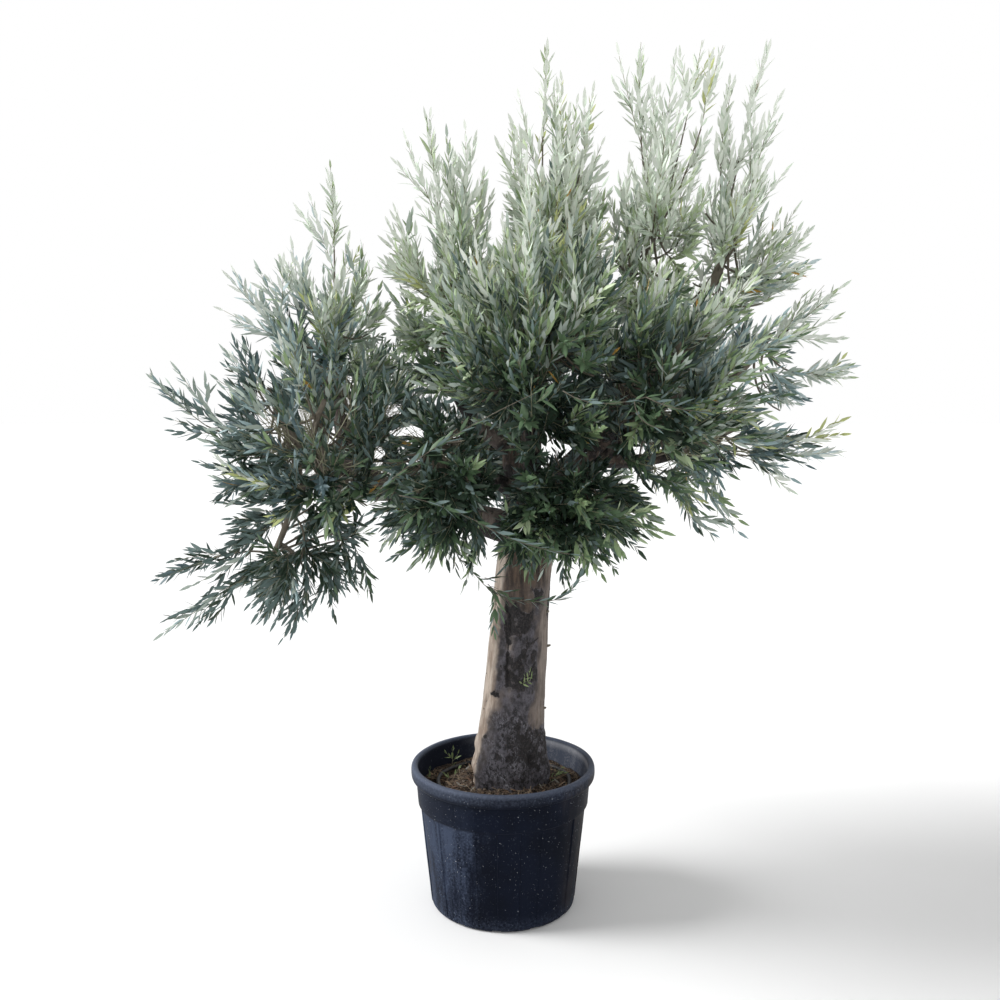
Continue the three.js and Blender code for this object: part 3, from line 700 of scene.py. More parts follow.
# Knots: degrees right of the front, height, half width and how far they stand out.
knots = [
    (-88, 0.578, 0.026, 0.016), (-84, 0.505, 0.034, 0.018), (-66, 0.83, 0.009, 0.005),
    (-58, 0.71, 0.011, 0.006), (-44, 0.62, 0.018, 0.006), (-20, 0.56, 0.030, 0.008),
    (22, 0.50, 0.034, 0.010), (52, 0.56, 0.026, 0.008), (74, 0.47, 0.030, 0.012),
    (8, 0.768, 0.016, 0.007), (34, 0.775, 0.013, 0.007), (19, 0.905, 0.010, 0.006),
    (140, 0.66, 0.030, 0.014), (205, 0.93, 0.022, 0.010), (170, 0.52, 0.036, 0.014),
    (118, 1.02, 0.014, 0.006),
]

# Dark places on the front: across under the fork, down the middle, and a band of knots.
# Degrees right of the front, height, and how far each fades out sideways and upwards.
darkPlaces = [
    (8, 1.07, 34, 0.022), (4, 0.995, 10, 0.055), (33, 0.935, 5, 0.009), (12, 0.925, 14, 0.02),
    (2, 0.865, 8, 0.05), (14, 0.782, 32, 0.022), (-46, 0.74, 10, 0.014), (8, 0.93, 9, 0.05),
    (12, 1.03, 14, 0.03), (-10, 1.06, 10, 0.03), (20, 0.84, 8, 0.02),
]


def plainRadius(t):
    # The radii read along the trunk.
    return np.interp(t, np.linspace(0, 1, len(trunk["radii"])), trunk["radii"])


def trunkRadius(t, turn):
    # The plain radius, times lobes that run out into the root flare, times long flutes.
    angle = math.radians(trunk["twist"]) - turn
    flare = np.maximum(0, 1 - t * 3) ** 2
    lobes = 1 + 0.09 * flare * np.cos(5 * angle + 0.6) + 0.05 * flare * np.cos(3 * angle + 2)
    flutes = 1 + 0.035 * np.cos(2 * angle + 0.5 + t) + 0.025 * np.cos(5 * angle + 1.3 + 2 * t)
    return plainRadius(t) * lobes * flutes


def barkFields(points, front, height):
    # Where the bark is cracked, rough, dark, red and pale, each from 0 to 1, by height and by degrees
    # right of the front. Noise shifts both first, so that no edge runs straight.
    cloud = noise(points * 9, 4, 40)
    shift = noise(points * (24, 24, 14), 4, 44)
    clump = noise(points * (44, 44, 26), 4, 81)
    # One long crack leans to the left on its way up, with a lip on its right and a valley on its left.
    crack = -17 - (height - 0.82) * 48 + 5 * noise(points * (0, 0, 22), 3, 60)
    broken = smooth(-0.8, 0.1, clump + 0.5 * shift + 0.3)
    fissure = hump(front - crack + 7 * clump, 7) * between(height, 0.78, 0.84, 1.07, 1.11) * broken
    lip = hump(front - crack - 10, 5) * between(height, 0.70, 0.8, 1.02, 1.1)
    # The valley is a groove. Its darkening and slate grey, given below through the dark and cool fields,
    # are painted shade.
    valley = hump(front - crack + 14 + 4 * shift, 9) * between(height, 0.72, 0.82, 1.0, 1.12)
    height = height + 0.05 * shift + 0.03 * cloud
    front = front + 10 * shift + 8 * cloud
    base = smooth(0.72, 0.62, height) * between(front, -70, -40, 80, 150)
    patch = 0 * front
    for side, level, wide, tall in darkPlaces:
        patch = np.maximum(patch, hump(front - side, wide) * hump(height - level, tall))
    patch = patch * smooth(-1.2, 0.2, clump)
    grey = between(front, -36, -14, 24, 46) * between(height, 0.62, 0.70, 1.0, 1.1)
    corner = hump(front - 84, 9) * hump(height - 1.09, 0.06)
    back = hump(front - 205, 26) * smooth(1.2, 0.9, height)
    back = back + hump(front - 150, 16) * smooth(0.9, 0.6, height)
    crust = base * mix(0.35, 1.0, smooth(-42, -4, front))
    rough = np.clip(crust + patch + 0.8 * fissure + corner + back * 0.8, 0, 1)
    dark = 0.85 * fissure + 0.85 * patch + 0.8 * corner + 0.35 * back + 0.2 * valley
    foot = 0.1 + 0.42 * hump(front - 32, 38) * smooth(0.42, 0.54, height) + 0.2 * smooth(50, 80, front)
    dark = np.clip(dark + base * foot + 0.16 * grey, 0, 1)
    red = smooth(1.04, 1.17, height) * smooth(-52, -20, front)
    cool = np.clip(0.9 * valley + 0.75 * grey + 0.85 * base * smooth(10, -30, front), 0, 1)
    pale = smooth(-30, -58, front) * smooth(-135, -105, front) * (1 - 0.55 * valley)
    pale = np.clip((pale + 0.7 * lip) * (1 - 0.7 * rough) + 0.2 * (1 - rough) * smooth(38, 60, front), 0, 1)
    return {"fissure": fissure, "lip": lip, "valley": valley, "rough": rough, "dark": dark, "red": red,
            "cool": cool, "pale": pale}


def makeTrunk():
    # Level rings round the centre line, moved in and out by the relief.
    t = np.linspace(0, 1, trunk["rows"])[:, None]
    turn = roundTurns(trunk["columns"])
    centre = onCurve(trunkCurve, t[:, 0])[:, None]
    around = lathe(1, turn, 0)
    radius = trunkRadius(t, turn)
    points = centre + radius[..., None] * around
    front = (np.degrees(turn) + 90 + 90) % 360 - 90 + 0 * t
    height = points[..., 2]
    marks = barkFields(points, front, height)
    rough = marks["rough"]
    # Relief: the crack goes in and its lip stands out, the rough bark is broken up by noise, most of it
    # stretched upwards, the foot is lumpy, and each knot is a bell.
    grain = noise(points * (1, 1, 0.25) * 60, 4, 21)
    broken = noise(points * (1, 1, 0.5) * 34, 4, 77)
    soft = noise(points * (1, 1, 0.35) * 11, 3, 31) + 0.6 * noise(points * (1, 1, 0.12) * 26, 2, 35)
    foot = smooth(0.62, 0.42, height)
    relief = -0.012 * marks["fissure"] + 0.006 * marks["lip"] - 0.009 * marks["valley"]
    relief = relief + 0.0016 * grain * (0.35 + rough)
    relief = relief + 0.0055 * rough * broken + 0.004 * soft + 0.012 * foot * noise(points * 13, 3, 90)
    for side, level, size, rise in knots:
        gap = np.radians((front - side + 180) % 360 - 180) * radius
        away = np.hypot(gap, height - level)
        relief = relief + rise * hump(away, size) - rise * 0.35 * hump(away, size * 0.4)
        # Each knot is painted darker towards its sunken middle: painted shade.
        marks["dark"] = np.maximum(marks["dark"], 0.5 * hump(away, size * 0.6))
    points = centre + (radius + relief)[..., None] * around
    # The foot runs down into the soil.
    points[0, :, 2] = trunk["foot"][2] - 0.02
    surface, faces = closedSurface(points, (*trunk["foot"][:2], 0.38), centre[-1, 0] + (0, 0, 0.02))
    ends = np.zeros(2)
    marks["relief"] = relief * 60
    fields = {name: np.concatenate([marks[name].ravel(), ends])
              for name in ("rough", "dark", "red", "cool", "pale", "relief")}
    addPiece("trunk_bark", surface, faces, barkLook(), "bark", ["trunk"], fields=fields)


def barkLook():
    # Tan, russet and slate wood, the russet made darker by painted shade from the crown and the slate
    # partly painted shade in the valley by the crack, then rough dark bark with lichen on it, by the fields
    # and by noise.
    look = Look("olive_bark")
    rough, dark, red = look.field("rough"), look.field("dark"), look.field("red")
    cool, pale, relief = look.field("cool"), look.field("pale"), look.field("relief")
    fine = look.cloud(190, 6, 0.76, (1, 1, 0.6))
    speck = look.cloud(95, 6, 0.74, (1, 1, 0.7))
    streak = look.cloud(52, 5, 0.7, (1, 1, 0.14))
    broad = look.cloud(22, 5, 0.68)
    blotch = look.cloud(46, 4, 0.62, (1, 1, 0.75))
    tan = look.blend(look.step(broad + streak * 0.5, 0.55, 0.95), paint(54, 49, 48), paint(99, 89, 84))
    light = look.blend(look.step(streak, 0.36, 0.62), paint(158, 140, 126), paint(210, 196, 182))
    # Russet is the wood's own red-brown, made darker as painted shade from the crown above the upper trunk
    # and boughs.
    russet = look.blend(look.step(streak + fine * 0.3, 0.5, 0.8), paint(36, 30, 26), paint(96, 80, 68))
    slate = look.blend(look.step(blotch + fine * 0.4, 0.55, 0.85), paint(36, 36, 41), paint(88, 86, 94))
    colour = look.blend(red, tan, russet)
    colour = look.blend(pale, colour, light)
    # The slate is partly painted shade, where the cool field comes from the valley beside the crack.
    colour = look.blend(look.step(cool + broad * 0.6 - 0.3, 0.15, 0.65) * 0.85, colour, slate)
    # Rough bark goes from nearly black through grey to specks of lichen and brown fibre.
    crust = look.blend(look.step(speck + relief * 0.1, 0.45, 0.57), paint(26, 25, 28), paint(92, 90, 97))
    colour = look.blend(look.step(rough + broad * 0.5 - 0.25, 0.25, 0.55) * 0.9, colour, crust)
    lichen = look.step(broad, 0.46, 0.58) * look.step(fine, 0.52, 0.6)
    colour = look.blend(lichen * rough * 0.8, colour, paint(160, 160, 170))
    colour = look.blend(look.step(fine, 0.6, 0.66) * rough * 0.55, colour, paint(138, 108, 84))
    # Black comes where the dark field and the blotches together pass a level, so its edge is ragged.
    ragged = look.step(dark * 0.9 + blotch * 1.2 + speck * 0.4 + fine * 0.2, 1.16, 1.3)
    black = look.blend(look.step(fine, 0.45, 0.62), paint(15, 13, 15), paint(48, 42, 40))
    colour = look.blend(ragged * 0.9, colour, black)
    height = fine * (0.6 + rough) + speck * rough * 1.6 + streak * 0.7 + blotch * rough * 2
    return look.finish(colour, 0.88, height, 0.004, 0.9)


makeTrunk()
print("trunk ready")


# Boughs: each runs from a place on its parent to its tip, its middle pushed off the straight.
# Name, parent, share of the way along it, tip, push, and radius at the root and at the tip.

boughs = [
    ("left", "trunk", 0.93, (-0.64, -0.03, 1.59), (-0.02, 0, -0.02), 0.056, 0.027),
    ("right", "trunk", 0.88, (0.62, 0.01, 2.02), (-0.01, 0, -0.01), 0.064, 0.026),
    ("centre", "trunk", 0.95, (0.08, 0.04, 2.01), (-0.05, 0.02, 0), 0.054, 0.024),
    ("back", "trunk", 0.86, (0.06, 0.43, 1.72), (0.01, 0.06, -0.06), 0.048, 0.024),
    ("front", "trunk", 0.87, (0.09, -0.41, 1.72), (0, -0.06, -0.06), 0.046, 0.024),
    ("left_up", "left", 0.72, (-0.57, 0.05, 1.79), (-0.04, 0.01, -0.02), 0.03, 0.018),
    ("left_front", "left", 0.6, (-0.54, -0.27, 1.51), (0, -0.03, -0.02), 0.026, 0.016),
    ("left_back", "left", 0.64, (-0.56, 0.29, 1.61), (0, 0.03, -0.02), 0.026, 0.016),
    ("left_low", "left", 0.8, (-0.72, -0.06, 1.42), (-0.04, 0, 0.03), 0.022, 0.014),
    ("centre_left", "centre", 0.4, (-0.19, 0.02, 1.88), (-0.03, 0, -0.03), 0.03, 0.018),
    ("right_up", "right", 0.56, (0.46, 0.02, 2.07), (0.01, 0.01, -0.01), 0.032, 0.018),
    ("right_out", "right", 0.7, (0.76, -0.01, 1.83), (0.02, -0.01, -0.03), 0.028, 0.016),
    ("right_low", "right", 0.42, (0.62, 0.01, 1.6), (0.02, 0.01, -0.02), 0.028, 0.016),
    ("right_front", "front", 0.5, (0.38, -0.37, 1.68), (0.02, -0.02, -0.02), 0.026, 0.016),
    ("right_back", "back", 0.5, (0.42, 0.39, 1.76), (0.02, 0.02, -0.02), 0.028, 0.016),
    ("front_low", "front", 0.42, (0.23, -0.33, 1.48), (0.01, -0.02, -0.01), 0.02, 0.012),
    ("front_left", "front", 0.62, (-0.17, -0.42, 1.62), (-0.02, -0.02, -0.01), 0.022, 0.013),
    ("back_low", "back", 0.46, (-0.13, 0.36, 1.56), (-0.01, 0.02, -0.01), 0.022, 0.013),
]

bark = {
    "large": 0.04,  # root radius from which a bough has the finer grid
    "fine": (110, 56),  # rows and columns
    "coarse": (56, 28),
    "russet": ("right", "right_low", "right_up", "centre"),
    "relief": (0.07, 0.05),  # shares of the radius, for small noise and large
}

limbs = {"trunk": (trunkCurve, lambda t: 1.08 * plainRadius(t))}


def boughRadius(thick, thin):
    # From thick to thin by t to the power 0.8, swollen where it leaves its parent.
    return lambda t: mix(thick, thin, t ** 0.8) * (1 + 0.28 * np.maximum(0, 1 - t / 0.3) ** 2)


def makeBoughs():
    # Rings square to each bough's curve, moved in and out by noise.
    parts, fields = [], []
    for number, (name, parent, share, tip, push, thick, thin) in enumerate(boughs):
        start = onCurve(limbs[parent][0], share)
        tip = np.array(tip)
        middle = (start + tip) / 2 + push
        curve = np.array([start, 2 * middle - (start + tip) / 2, tip])
        radiusAt = boughRadius(thick, thin)
        limbs[name] = (curve, radiusAt)
        rows, columns = bark["fine"] if thick > bark["large"] else bark["coarse"]
        t = np.linspace(0, 1, rows)
        centre, tangent = onCurve(curve, t), alongCurve(curve, t)
        across = squareTo(unit(tip - start))
        side = unit(np.cross(across, tangent))
        other = np.cross(tangent, side)
        turn = roundTurns(columns)[:, None]
        around = np.cos(turn) * side[:, None] + np.sin(turn) * other[:, None]
        radius = radiusAt(t)[:, None, None]
        points = centre[:, None] + radius * around
        # Bark relief: noise stretched along the limb, and a few swellings.
        local = lathe(2.2, turn.T, t[:, None] * np.linalg.norm(tip - start) * 9 + number * 7)
        small, large = noise(local, 4, number), noise(local * (0.6, 0.6, 0.4), 2, 50 + number)
        relief = radius[..., 0] * (bark["relief"][0] * small + bark["relief"][1] * large)
        points = points + relief[..., None] * around
        last = tip + tangent[-1] * radius[-1, 0, 0] * 0.4
        parts.append(closedSurface(points, start - tangent[0] * 0.01, last))
        red = 0.85 if name in bark["russet"] else 0.25
        cloud = noise(points * 12, 3, 8)
        # The dark field is partly painted shade of the crown over the boughs, most on their undersides,
        # which under marks. The pale field keeps to their tops: painted shade below and painted light
        # above.
        under = smooth(0.1, -0.6, around[..., 2])
        fields.append({
            "rough": np.clip(0.3 + 0.4 * cloud, 0, 1),
            "dark": np.clip(0.35 + 0.5 * cloud + 0.2 * under, 0, 1),
            "red": np.clip(red + 0.4 * cloud, 0, 1),
            "pale": np.clip(0.3 * (0.65 - red) * (1 - under), 0, 1),
            "relief": relief * 60})
    ends = np.zeros(2)
    joined = {field: np.concatenate([np.append(each[field].ravel(), ends) for each in fields])
              for field in fields[0]}
    nodes = ["bough_" + bough[0] for bough in boughs]
    look = bpy.data.materials["olive_bark"]
    addPiece("boughs_bark", *joinParts(parts), look, "bark", nodes, fields=joined)


makeBoughs()
print("boughs ready")


# Foliage: each mass fills an egg-shaped space round its centre, and grows along one main direction.
# Its leaders are the furthest shoots.

masses = [
    {"name": "left_outer", "on": "left", "centre": (-0.77, -0.04, 1.68), "radii": (0.23, 0.33, 0.35),
     "grows": (-0.3, 0, 0.95), "fill": 0.65,
     "leaders": [(-1.196, -0.06, 1.865), (-0.96, 0.08, 1.47), (-0.92, -0.08, 2.02), (-1.04, -0.02, 1.56),
                 (-0.93, -0.1, 1.43), (-1.0, 0.04, 1.5), (-0.86, 0.02, 1.4)]},
    {"name": "left_top", "on": "left_up", "centre": (-0.6, 0.04, 1.9), "radii": (0.3, 0.36, 0.36),
     "grows": (-0.1, 0, 1), "fill": 0.75,
     "leaders": [(-0.584, 0, 2.565), (-0.7, 0.04, 2.22), (-0.47, -0.04, 2.3), (-0.78, 0.06, 2.28),
                 (-0.6, -0.26, 2.12), (-0.62, 0.34, 2.2), (-0.9, -0.04, 2.2)]},
    {"name": "left_front", "on": "left_front", "centre": (-0.5, -0.44, 1.66), "radii": (0.34, 0.32, 0.29),
     "grows": (-0.2, -0.35, 0.9), "fill": 0.75, "leaders": [(-0.62, -0.62, 2.0), (-0.3, -0.42, 1.9)]},
    {"name": "left_back", "on": "left_back", "centre": (-0.6, 0.45, 1.73), "radii": (0.37, 0.33, 0.36),
     "grows": (-0.2, 0.35, 0.9), "fill": 1.0,
     "leaders": [(-0.7, 0.6, 2.12), (-0.36, 0.42, 1.98), (-0.32, 0.5, 1.85)]},
    {"name": "left_low", "on": "left_low", "centre": (-0.72, -0.06, 1.23), "radii": (0.3, 0.32, 0.24),
     "grows": (-0.6, -0.1, -0.35), "fill": 0.42,
     "leaders": [(-1.199, -0.06, 1.165), (-1.135, -0.16, 1.0), (-0.749, -0.1, 0.97), (-0.455, -0.06, 1.12),
                 (-0.9, 0.16, 1.04)]},
    {"name": "centre_left", "on": "centre_left", "centre": (-0.15, 0, 2.04), "radii": (0.29, 0.36, 0.46),
     "grows": (-0.15, 0, 1), "fill": 0.86,
     "leaders": [(-0.246, -0.02, 2.713), (-0.129, 0.06, 2.696), (-0.367, 0.04, 2.417), (-0.19, 0.02, 2.66),
                 (-0.13, -0.26, 2.4), (-0.12, 0.3, 2.45), (-0.36, 0, 2.24), (-0.07, 0.05, 2.52),
                 (-0.3, -0.1, 2.02), (-0.42, 0.02, 2.0), (-0.4, -0.05, 1.9)]},
    {"name": "centre_top", "on": "centre", "centre": (0.21, 0.03, 2.25), "radii": (0.25, 0.34, 0.42),
     "grows": (0.05, 0, 1), "fill": 1.0,
     "leaders": [(0.139, 0, 2.96), (0.241, -0.06, 2.745), (0.03, 0.08, 2.7), (0.3, 0, 2.8),
                 (0.2, 0.06, 2.86), (0.17, -0.3, 2.6), (0.23, 0.34, 2.62)]},
    {"name": "centre_front", "on": "front", "centre": (0.1, -0.53, 1.87), "radii": (0.38, 0.34, 0.46),
     "grows": (0, -0.25, 0.95), "fill": 1.3, "leaders": [(0.06, -0.62, 2.4)]},
    {"name": "front_left", "on": "front_left", "centre": (-0.165, -0.51, 1.56), "radii": (0.31, 0.32, 0.29),
     "grows": (-0.3, -0.5, 0.5), "fill": 0.95,
     "leaders": [(-0.43, -0.76, 1.64), (-0.12, -0.38, 1.2), (-0.27, -0.5, 1.28)]},
    {"name": "front_low", "on": "front_low", "centre": (0.16, -0.48, 1.48), "radii": (0.33, 0.33, 0.24),
     "grows": (0.3, -0.6, 0.2), "fill": 1.0,
     "leaders": [(0.57, -0.5, 1.45), (0.06, -0.64, 1.36), (0.3, -0.4, 1.24)]},
    {"name": "centre_back", "on": "back", "centre": (0.04, 0.57, 2.0), "radii": (0.4, 0.36, 0.47),
     "grows": (0, 0.25, 0.95), "fill": 1.0, "leaders": [(0, 0.6, 2.5)]},
    {"name": "back_low", "on": "back_low", "centre": (-0.18, 0.56, 1.57), "radii": (0.41, 0.33, 0.28),
     "grows": (-0.3, 0.6, 0.4), "fill": 1.0, "leaders": [(-0.34, 0.82, 1.48)]},
    {"name": "right_top", "on": "right_up", "centre": (0.53, 0.03, 2.28), "radii": (0.26, 0.34, 0.42),
     "grows": (0.12, 0, 1), "fill": 0.72,
     "leaders": [(0.457, -0.02, 2.96), (0.67, 0.03, 2.985), (0.56, -0.08, 2.88), (0.73, -0.02, 2.95),
                 (0.5, -0.28, 2.6), (0.55, 0.32, 2.66)]},
    {"name": "right_crest", "on": "right", "centre": (0.78, 0.02, 2.24), "radii": (0.23, 0.33, 0.39),
     "grows": (0.25, 0, 0.95), "fill": 0.6,
     "leaders": [(0.874, 0, 2.935), (0.938, 0.06, 2.794), (1.03, -0.02, 2.34), (0.76, 0, 2.85),
                 (0.78, 0.3, 2.55), (0.88, -0.05, 2.54)]},
    {"name": "right_outer", "on": "right_out", "centre": (0.84, 0, 1.93), "radii": (0.24, 0.36, 0.27),
     "grows": (0.75, 0, 0.6), "fill": 0.27,
     "leaders": [(1.135, -0.04, 2.15), (1.225, 0.02, 1.89), (1.16, 0.08, 1.74), (1.05, 0.1, 2.02)]},
    {"name": "right_low", "on": "right_low", "centre": (0.67, 0, 1.66), "radii": (0.36, 0.37, 0.18),
     "grows": (0.9, 0, 0.3), "fill": 0.6,
     "leaders": [(1.19, 0, 1.6), (0.74, -0.04, 1.3), (1.12, -0.12, 1.66), (0.62, -0.1, 1.42),
                 (0.66, 0.02, 1.39), (0.55, 0.1, 1.44)]},
    {"name": "right_front", "on": "right_front", "centre": (0.46, -0.52, 1.8), "radii": (0.31, 0.33, 0.37),
     "grows": (0.3, -0.35, 0.8), "fill": 1.0, "leaders": [(0.68, -0.66, 2.1)]},
    {"name": "right_back", "on": "right_back", "centre": (0.56, 0.53, 1.87), "radii": (0.41, 0.37, 0.44),
     "grows": (0.35, 0.35, 0.85), "fill": 1.0, "leaders": [(0.78, 0.68, 2.22), (0.92, 0.56, 1.66)]},
]
centres = np.array([mass["centre"] for mass in masses])
radii = np.array([mass["radii"] for mass in masses])

# The rule by which every mass grows, down to its leaves.
growth = {
    "twigs": 36,  # for a mass filled in full, the leaders among them
    "spread": 1.8,  # how far round from the growing direction the twigs aim, of 2 for all the way
    "reach": (0.6, 1.0),  # where they aim, for the way out to the edge
    "twigRadius": 0.005,
    "twigTipRadius": 0.0026,
    "stemEndRadius": 0.008,
    "sag": 0.2,
    "sprays": 4,
    "leaderSprays": 3,
    "sprayLength": 0.31,
    "sprayWidth": 0.36,
    "widest": 0.42,
    "sprayLean": 0.5,
    "upturn": 0.8,
    "edge": 1.03,  # how far out of the egg a spray may stand, unless its twig aims further
    "spaceMargin": 0.012,
    "leafMargin": 0.003,
    "shorter": (1.0, 0.7, 0.45),  # lengths tried in turn for a spray that doesn't fit
    "limbClearance": 0.009,
    "limbStep": 0.025,
    "sideShoots": 2,
    "sideShare": 0.5,  # a side shoot's length for its main shoot's
    "sideLean": 0.5,
    "shootRadius": 0.0019,
    "pairGap": 0.0235,
    "mostPairs": 14,
    "leafLength": 0.063,
    "leafWidth": 0.225,  # share of the length
    "firstPair": 0.35,  # how far up a shoot its first pair stands, in gaps between pairs
    "leafLean": (0.62, 0.24),  # radians off the shoot, at its root and at its tip
    "fallen": 0.04,  # share of leaves that are missing
    "yellow": 0.003,  # share that have turned
    "young": 0.07,  # share of the brighter shoots that are young
}

limbPoints, limbRadii = [], []
for curve, radiusAt in limbs.values():
    steps = int(math.ceil(np.linalg.norm(curve[2] - curve[0]) / growth["limbStep"]))
    shares = np.linspace(0, 1, steps + 1)
    limbPoints.append(onCurve(curve, shares))
    limbRadii.append(radiusAt(shares) + growth["limbClearance"])
limbPoints = np.concatenate(limbPoints)
limbRadii = np.concatenate(limbRadii)


def outness(mass, p):
    # 0 at a mass's centre, 1 at the edge of its space.
    return np.linalg.norm((p - centres[mass]) / radii[mass], axis=-1)


def inBox(p, slack=0.0):
    # Whether each point lies inside the CAD's own box.
    return np.all((p > np.array(cadBox[0]) - slack) & (p < np.array(cadBox[1]) + slack), axis=-1)


def free(mass, p, margin=growth["spaceMargin"]):
    # Whether each point lies nearest the heart of its own mass, clear of every limb and in the box.
    flat = p.reshape(-1, 3)
    out = np.linalg.norm((flat[:, None] - centres) / radii, axis=-1)
    own = out[:, mass].copy()
    out[:, mass] = np.inf
    good = (own < out.min(axis=1) - margin) & inBox(flat, 0.001)
    spots = flat[good]
    squares = np.sum(spots ** 2, axis=1)[:, None] + np.sum(limbPoints ** 2, axis=1)
    away = np.sqrt(np.maximum(squares - 2 * spots @ limbPoints.T, 0))
    good[good] = np.all(away > limbRadii, axis=1)
    return good.reshape(p.shape[:-1])


def twigTargets(number, mass):
    # The leaders, then points spread evenly round the egg by the golden-ratio family, fewer behind.
    i = np.arange(len(mass["leaders"]), round(growth["twigs"] * mass["fill"]))
    along = 1 - growth["spread"] * fraction((i + 0.5) * 0.7548777)
    turn = 2 * math.pi * fraction(i * 0.5698403 + number * 0.37)
    across = np.sqrt(np.maximum(0, 1 - along * along))
    direction = along[:, None] * mass["way"] + (across * np.cos(turn))[:, None] * mass["side"]
    direction = direction + (across * np.sin(turn))[:, None] * mass["other"]
    reach = mix(*growth["reach"], chance(number, i, 3) ** 0.6)
    spread = centres[number] + direction * radii[number] * reach[:, None]
    return np.concatenate([np.array(mass["leaders"]), spread])


def growTwigs(number, mass):
    # A twig is a quadratic curve from its place on the stem, its middle sagging back from the growing
    # direction. It stops a spray short of its target, or where it would leave the mass's space.
    targets = twigTargets(number, mass)
    i = np.arange(len(targets))
    leads = i < len(mass["leaders"])
    share = np.where(leads, 0.5 + 0.4 * chance(number, i, 7), 0.1 + 0.85 * fraction(i * 0.618034))
    start = onCurve(mass["stem"], share)
    reach = targets - start
    far = np.linalg.norm(reach, axis=1)[:, None]
    last = np.minimum(growth["sprayLength"], 0.6 * far)
    heading = unit(reach / far + mass["way"] * growth["upturn"])
    aim = targets - heading * 0.9 * last
    middle = (start + aim) / 2 - mass["way"] * growth["sag"] * far
    whole = np.stack([start, middle, aim], axis=1)
    steps = np.arange(6, 21) / 20
    clear = free(number, onCurve(whole[:, None], steps[None, :]))
    reached = np.cumprod(clear, axis=1).sum(axis=1)
    end = np.where(reached > 0, steps[np.maximum(reached - 1, 0)], 0)
    keep = end >= 0.5
    part = end[:, None]
    cut = np.stack([start, mix(start, middle, part), onCurve(whole, end)], axis=1)
    return cut[keep], targets[keep], i[keep], leads[keep]


def spraysOf(number, mass, curves, targets, i, leads):
    # The first spray of a twig stands on its tip and points at the target. The others stand along it,
    # turned off it by the golden angle and up to the growing direction.
    rows = []
    for j in range(growth["sprays"]):
        has = (~leads) | (j < growth["leaderSprays"])
        twig, aim, k = curves[has], targets[has], i[has]
        turn = 2.399963 * (j + 3 * k)
        if j == 0:
            root = twig[:, 2]
            rest = aim - root
            length = np.minimum(np.linalg.norm(rest, axis=1), growth["sprayLength"])
            way = unit(rest)
        else:
            t = 0.3 + 0.6 * fraction(j * 0.618034 + chance(number, k, 5))
            root = onCurve(twig, t)
            way = alongCurve(twig, t)
            side = squareTo(way)
            other = np.cross(way, side)
            lean = growth["sprayLean"]
            way = way + lean * np.cos(turn)[:, None] * side + lean * np.sin(turn)[:, None] * other
            way = unit(way + mass["way"] * growth["upturn"])
            length = growth["sprayLength"] * (0.7 + 0.4 * chance(number, k, 11 + j))
        rows.append((root, way, length, turn, np.maximum(growth["edge"], 1.001 * outness(number, aim))))
    root, way, length, turn, limit = (np.concatenate(column) for column in zip(*rows))
    side = squareTo(way)
    flat = np.cos(turn)[:, None] * side + np.sin(turn)[:, None] * np.cross(way, side)
    fits = np.zeros(len(root), bool)
    whole = length
    for share in growth["shorter"]:
        length = np.where(fits, length, whole * share)
        middle = root + way * (growth["widest"] * length)[:, None]
        tip = root + way * length[:, None]
        half = (length * growth["sprayWidth"] / 2)[:, None]
        spots = np.stack([tip, (middle + tip) / 2, middle + flat * half, middle - flat * half], axis=1)
        fits = np.all(free(number, spots), axis=1) & (outness(number, tip) < limit)
    return [column[fits] for column in (root, way, flat, length, turn, limit)]


def shootsOf(number, mass, dice, root, way, flat, length, turn, limit):
    # Each spray is a main shoot, bowed a little, with side shoots to its left and right in its plane.
    # Returns curves, lengths and turns.
    bow = -0.07 * mass["way"] + dice.normal(0, 0.03, way.shape)
    tip = root + way * (0.99 * length)[:, None]
    curves = [np.stack([root, (root + tip) / 2 + bow * length[:, None], tip], axis=1)]
    lengths, turns = [length], [turn]
    for k in range(growth["sideShoots"]):
        share = 0.16 + 0.2 * k + 0.12 * dice.random(len(root))
        start = onCurve(curves[0], share)
        lean = growth["sideLean"] * (1 if k % 2 else -1) * mix(0.75, 1.25, dice.random((len(root), 1)))
        aim = unit(np.cos(lean) * way + np.sin(lean) * flat + 0.25 * mass["way"])
        part = length * growth["sideShare"] * mix(0.7, 1.25, dice.random(len(root)))
        end = start + aim * part[:, None]
        bend = (start + end) / 2 - 0.08 * part[:, None] * mass["way"]
        fits = free(number, end) & (outness(number, end) < limit)
        curves.append(np.stack([start, bend, end], axis=1)[fits])
        lengths.append(part[fits])
        turns.append(turn[fits] + 1.3 * (k + 1))
    return np.concatenate(curves), np.concatenate(lengths), np.concatenate(turns)


